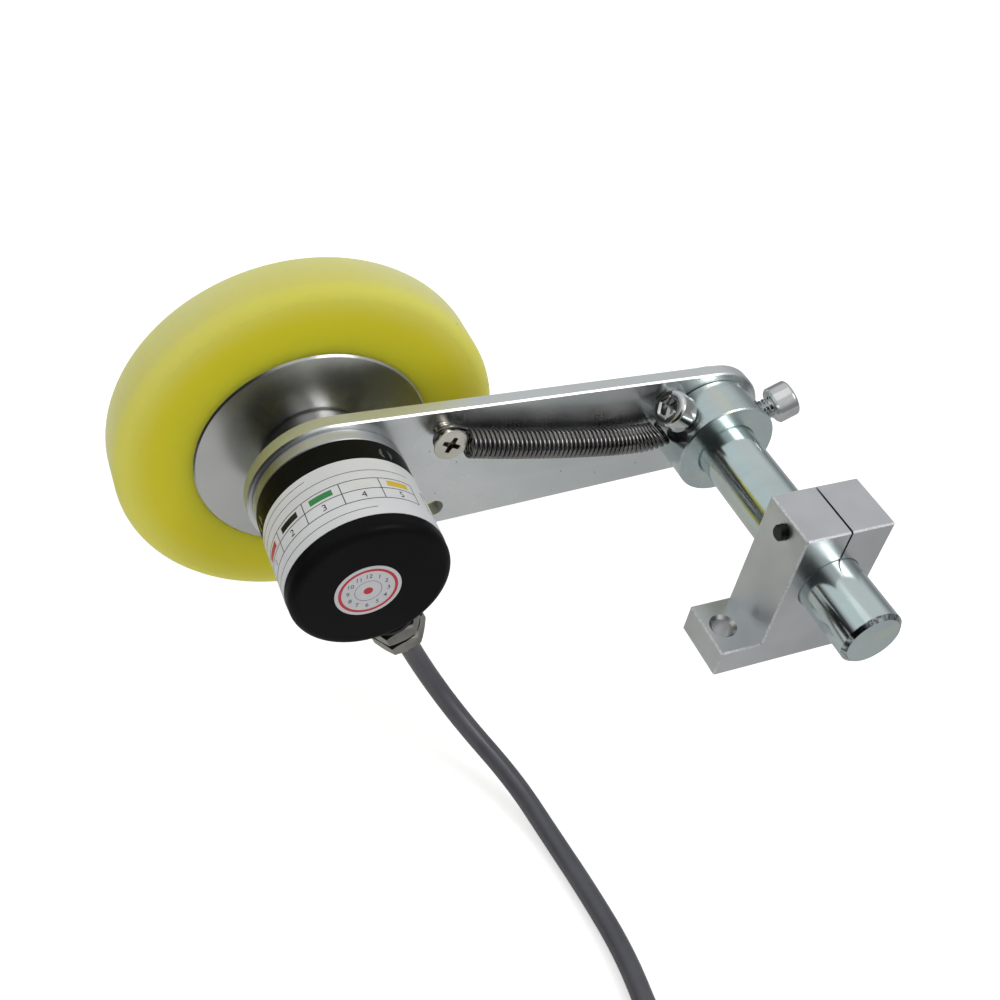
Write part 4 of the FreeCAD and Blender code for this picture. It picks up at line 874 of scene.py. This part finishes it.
def cap_screw_rows(radius, pitch, length, socket, threaded=None):
    """Socket head cap screw, in shares of its radius and pitch: thread from the tip, round head with
    eased edges, hexagon socket with a drilled floor."""
    head_r = 1.5 * radius + 0.5
    top = length + 2 * radius
    ease = 0.16 * radius
    mouth = hexagon_outline(socket)
    corner = mouth.max()
    floor = top - radius
    thread_end = threaded or length - 0.8 * pitch
    tip = [(radius - 0.6 * pitch, 0.0)]
    head = [(radius - 0.5 * pitch, length - 0.4 * pitch), (radius, length)]
    head += [(head_r - ease, length), (head_r, length + ease), (head_r, length + 2 * ease)]
    for turn in np.radians((0, 5, 22, 45, 68, 85, 90)):
        head.append((head_r - 2 * ease * (1 - np.cos(turn)), top - 2 * ease * (1 - np.sin(turn))))
    head += [(corner + 1.2 * ease, top), (corner + ease, top), (mouth + 0.3 * ease, top - 0.6 * ease)]
    recess = [(mouth, top - 0.8 * ease), (mouth, floor), (0.96 * mouth, floor)]
    recess += [(0.1 * mouth, floor - 0.3 * radius)]
    thread = thread_rows(radius, pitch, 0.4 * pitch, thread_end)
    return shaded(tip, 0.0) + thread + shaded(head, 0.0) + shaded(recess, 1.0)


def flat_screw_rows(radius, pitch, length, head_r, head_height):
    """Countersunk screw: thread, cone, a thin rim, a face with a cross recess that narrows downwards."""
    cone = length - head_height
    rim = length - 0.15 * head_height
    cross = cross_outline(0.52 * head_r, 0.26 * head_r)
    tip = [(0.7 * radius, 0.0)]
    head = [(radius - 0.2 * pitch, cone), (head_r - 0.03, rim), (head_r, rim + 0.03)]
    head += [(head_r, length - 0.12), (head_r - 0.04, length - 0.04), (head_r - 0.12, length)]
    head += [(head_r - 0.3, length), (1.08 * cross + 0.05, length)]
    recess = [(1.02 * cross, length - 0.06), (0.82 * cross, length - 0.6 * head_height)]
    recess += [(0.2 * cross, length - 0.68 * head_height)]
    thread = thread_rows(radius, pitch, 0.3 * pitch, cone)
    return shaded(tip, 0.0) + thread + shaded(head, 0.0) + shaded(recess, 1.0)


def around(axis, angle, radius, y):
    """Point at an angle and radius from a Y axis, and the direction outwards."""
    a = math.radians(angle)
    outward = np.array((math.cos(a), 0.0, math.sin(a)))
    return np.array((axis[0], y, axis[1])) + radius * outward, outward


def put_screws(name, screws, finish, body, node):
    """One object for all screws of a kind, in place of their node."""
    put(name, screws, MATERIAL[finish], body, (node,), SCREW_SHARP)


def add_screws():
    """Screws of the collar, the support, the spring's post, the cover and the flange."""
    rows = cap_screw_rows(**COLLAR_SCREW)
    placed = [screw_surface(rows, *around(SHAFT_AXIS, angle, tip, y), spin)
              for angle, tip, y, spin in COLLAR_SCREW_PLACES]
    put_screws("collar_cap_screws", placed, "plated_screw", "collar", "collar_screws")
    placed = [screw_surface(cap_screw_rows(**CLAMP_SCREW), CLAMP_TIP, (1, 0, 0), CLAMP_SPIN)]
    put_screws("clamp_cap_screw", placed, "black_screw", "support", "clamp_screw")
    placed = [screw_surface(flat_screw_rows(**POST_SCREW), POST_TIP, (0, -1, 0), POST_SPIN)]
    put_screws("post_screw", placed, "post_nickel", "arm", "spring_post")
    rows = flat_screw_rows(**COVER_SCREW)
    places = [around(WHEEL_AXIS, angle + ARM_TILT, *COVER_SCREW_TIP) for angle in COVER_SCREW_ANGLES]
    placed = [screw_surface(rows, tip, outward, COVER_SCREW_SPIN) for tip, outward in places]
    put_screws("cover_small_screws", placed, "small_screw", "arm", "cover_screws")
    rows = flat_screw_rows(**FLANGE_SCREW)
    places = [around(WHEEL_AXIS, angle + ARM_TILT, *FLANGE_SCREW_TIP) for angle in FLANGE_SCREW_ANGLES]
    placed = [screw_surface(rows, tip, (0, 1, 0), angle)
              for (tip, _), angle in zip(places, FLANGE_SCREW_ANGLES)]
    put_screws("flange_flat_screws", placed, "plated_screw", "arm", "flange_screws")


add_screws()


# Print: a blank wiring table with plain numbers on the label, a dial of plain numbers on the sticker

LABEL_R = 19.14
LABEL_MIDDLE = 117.0
LABEL_STEP = 0.6
LABEL_NUMERAL = 2.6
INK_LIFT = 0.02
TABLE_COLUMN = 9.2
TABLE_LEFT = -2.5 * TABLE_COLUMN
TABLE_UPRIGHTS = np.linspace(TABLE_LEFT, -TABLE_LEFT, 6)
TABLE_LINES = (29.3, 32.5, 35.7)
SQUARE_UPRIGHTS = (27.0, 33.6)
SQUARE_LINES = (29.3, 35.7)
# Each blank line is its right end and its Y
BLANK_LINES = ((23.0, 38.3), (-2.0, 40.6), (11.0, 26.6))
BLANK_RULE = 0.15
RULE = 0.2
SWATCH_HALF = 2.8
SWATCH_MARGIN = 0.75
STICKER_CENTRE = (-105.684, 25.155)
STICKER_FACE = 19.86
RED_RINGS = ((6.25, 6.95), (0.05, 1.1))
DIAL_RING = (3.1, 3.2)
DIAL_R = 4.75
DIAL_NUMERAL = 1.75


def on_label(across, along):
    """Place on the label: distance across it as read, and along Y."""
    radius = LABEL_R + INK_LIFT
    angle = np.radians(LABEL_MIDDLE) - across / LABEL_R
    x = WHEEL_AXIS[0] + radius * np.cos(angle)
    z = WHEEL_AXIS[1] + radius * np.sin(angle)
    return np.stack([x, along, z], axis=-1)


def label_patch(left, right, low, high):
    """Inked patch that follows the label's round side."""
    columns = max(2, int((right - left) / LABEL_STEP) + 2)
    across, along = np.meshgrid(np.linspace(left, right, columns), (low, high))
    return surface(on_label(across, along))


def ruled(uprights, lines):
    """Inked lines of a table: one along each of its lines, one up each of its uprights."""
    half = RULE / 2
    along = [label_patch(uprights[0], uprights[-1], y - half, y + half) for y in lines]
    return along + [label_patch(x - half, x + half, lines[0], lines[-1]) for x in uprights]


def numeral(text, size):
    """Flat points and faces of a plain number, about its middle."""
    curve = bpy.data.curves.new("numeral", "FONT")
    curve.body = text
    curve.size = size
    curve.align_x = "CENTER"
    curve.align_y = "CENTER"
    writer = bpy.data.objects.new("numeral", curve)
    mesh = bpy.data.meshes.new_from_object(writer)
    points = np.empty(len(mesh.vertices) * 3)
    mesh.vertices.foreach_get("co", points)
    points = points.reshape(-1, 3)
    faces = [list(face.vertices) for face in mesh.polygons]
    bpy.data.objects.remove(writer)
    bpy.data.curves.remove(curve)
    bpy.data.meshes.remove(mesh)
    flat = points[:, :2]
    flat -= (flat.max(axis=0) + flat.min(axis=0)) / 2
    return flat, faces, np.zeros((sum(len(face) for face in faces), 2))


def add_label_print():
    """Ruled table of five columns, a colour over a number in each, with blank lines and an empty square
    round it."""
    low, middle, high = TABLE_LINES
    ink = ruled(TABLE_UPRIGHTS, TABLE_LINES)
    ink += [label_patch(TABLE_LEFT, right, y, y + BLANK_RULE) for right, y in BLANK_LINES]
    ink += ruled(SQUARE_UPRIGHTS, SQUARE_LINES)
    swatches = []
    for column, text in enumerate("12345"):
        centre = TABLE_LEFT + (column + 0.5) * TABLE_COLUMN
        flat, faces, uv = numeral(text, LABEL_NUMERAL)
        ink.append((on_label(centre + flat[:, 0], (low + middle) / 2 + flat[:, 1]), faces, uv))
        swatches.append(label_patch(centre - SWATCH_HALF, centre + SWATCH_HALF,
                                    middle + SWATCH_MARGIN, high - SWATCH_MARGIN))
    colours = [MATERIAL["lead_" + colour] for colour in LEAD_COLOURS]
    put("label_print", ink, MATERIAL["ink_black"], "arm")
    put("label_colours", swatches, colours, "arm")


def on_sticker(flat):
    """Flat points put on the sticker's face, read from behind the cover."""
    x = STICKER_CENTRE[0] + flat[..., 0]
    z = STICKER_CENTRE[1] + flat[..., 1]
    return np.stack([x, np.full_like(x, STICKER_FACE - INK_LIFT), z], axis=-1)


def sticker_ring(inner, outer):
    """Inked ring about the sticker's middle."""
    angle, radius = np.meshgrid(np.linspace(0, 2 * np.pi, 97)[:-1], (outer, inner))
    flat = np.stack([radius * np.cos(angle), radius * np.sin(angle)], axis=-1)
    return surface(on_sticker(flat), round_columns=True)


def add_sticker_print():
    """Red ring round a red dot, and the numbers 1 to 12 in a dial between them."""
    rings = [sticker_ring(*radii) for radii in RED_RINGS]
    put("sticker_ring", rings, MATERIAL["ink_red"], "arm")
    numbers = []
    for hour in range(1, 13):
        flat, faces, uv = numeral(str(hour), DIAL_NUMERAL)
        turn = math.radians(90 - 30 * hour)
        place = flat + DIAL_R * np.array((math.cos(turn), math.sin(turn)))
        numbers.append((on_sticker(place), faces, uv))
    numbers += [sticker_ring(*DIAL_RING)]
    put("sticker_numbers", numbers, MATERIAL["ink_black"], "arm")


add_label_print()
add_sticker_print()


# Floor and light, in metres but for the floor's own sizes

FLOOR_LEVEL = -45.2
FLOOR_SPAN = (-330.0, 700.0)
FLOOR_SEEN = (0.90, 0.90, 0.90)
FLOOR_GLOW = 0.5
FLOOR_LEFT = (0.76, 0.77, 0.77)
FLOOR_RIGHT = (0.47, 0.48, 0.48)
FLOOR_FAR_LEFT = (0.08, 0.08, 0.08)
FLOOR_TURNS_RIGHT = (-0.10, 0.08)
FLOOR_TURNS_FAR_LEFT = (-0.17, -0.23)
# Each light is its name, place, target, size and power
LIGHTS = (
    ("ceiling", (-0.25, 0.05, 1.0), (-0.05, 0.03, 0), 0.9, 0.6),
    ("front", (0.44, -0.60, 0.94), (-0.06, 0.03, 0), 0.6, 3.2),
)
WALLS = (0.26, 0.27, 0.28)
CEILING = (0.66, 0.67, 0.68)
CEILING_FROM = (0.1, 0.6)
# Each card is its direction, the cosines from there between which it fades in, and its colour
DARK_ROOM = ((-0.80, -0.58, 0.10), (0.55, 0.80), (0.02, 0.02, 0.02))
DARK_SCREEN = ((-0.77, 0.63, 0.00), (0.91, 0.96), (0.015, 0.015, 0.015))
SOFT_BOX = ((-0.50, 0.63, 0.59), (0.90, 0.95), (0.645, 0.70, 0.715))
EVEN_GREY = (0.66, 0.66, 0.66)
WHITE = (1.0, 1.0, 1.0)


def after_matt(tree, path):
    """One for light on its way to a matt surface, else zero."""
    return math_node(tree, "MINIMUM", path["Diffuse Depth"], 1.0)


def add_floor():
    """Pale floor: white to the eye, grey to the metal that mirrors it, darker towards the right and
    at the far left."""
    x, y = np.meshgrid(FLOOR_SPAN, FLOOR_SPAN)
    grid = np.stack([x, y, np.full_like(x, FLOOR_LEVEL)], axis=-1)
    made = Finish("floor", Roughness=0.7, Emission_Color=(*WHITE, 1))
    tree = made.tree
    path = tree.nodes.new("ShaderNodeLightPath").outputs
    along_x = split(tree, made.place)["X"]
    mirrored = mixed(tree, ranged(tree, along_x, *FLOOR_TURNS_RIGHT), FLOOR_LEFT, FLOOR_RIGHT)
    far_left = ranged(tree, along_x, *FLOOR_TURNS_FAR_LEFT)
    mirrored = mixed(tree, far_left, mirrored, FLOOR_FAR_LEFT)
    matt = after_matt(tree, path)
    by_metal = math_node(tree, "SUBTRACT", path["Is Glossy Ray"], matt, clamp=True)
    made.colour(by_metal, FLOOR_SEEN, mirrored)
    made.feed("Emission Strength", times(tree, path["Is Camera Ray"], FLOOR_GLOW))
    floor = put("floor", [surface(grid)], made.material)


def add_light(name, place, target, size, power):
    """Round soft light."""
    data = bpy.data.lights.new(name, "AREA")
    data.shape = "DISK"
    data.size = size
    data.energy = power
    light = link(bpy.data.objects.new(name, data))
    light.location = place
    light.rotation_euler = (Vector(target) - Vector(place)).to_track_quat("-Z", "Y").to_euler()


def add_world():
    """Bright ceiling over darker walls, with a soft box behind on the left above a dark screen and a
    dark room in front on the left, for metal to mirror. Matt surfaces are lit by an even grey, and the
    eye sees white."""
    world = bpy.data.worlds.new("studio")
    world.use_nodes = True
    tree = world.node_tree
    direction = tree.nodes.new("ShaderNodeTexCoord").outputs["Generated"]
    height = split(tree, direction)["Z"]
    colour = mixed(tree, ranged(tree, height, *CEILING_FROM), WALLS, CEILING)
    for towards, fade, tone in (DARK_ROOM, DARK_SCREEN, SOFT_BOX):
        facing = vector_node(tree, "DOT_PRODUCT", direction, towards)["Value"]
        colour = mixed(tree, ranged(tree, facing, *fade), colour, tone)
    path = tree.nodes.new("ShaderNodeLightPath").outputs
    colour = mixed(tree, after_matt(tree, path), colour, EVEN_GREY)
    seen = mixed(tree, path["Is Camera Ray"], colour, WHITE)
    tree.links.new(seen, tree.nodes["Background"].inputs["Color"])
    bpy.context.scene.world = world


add_floor()
for settings in LIGHTS:
    add_light(*settings)
add_world()
bpy.context.scene.view_settings.view_transform = "Standard"
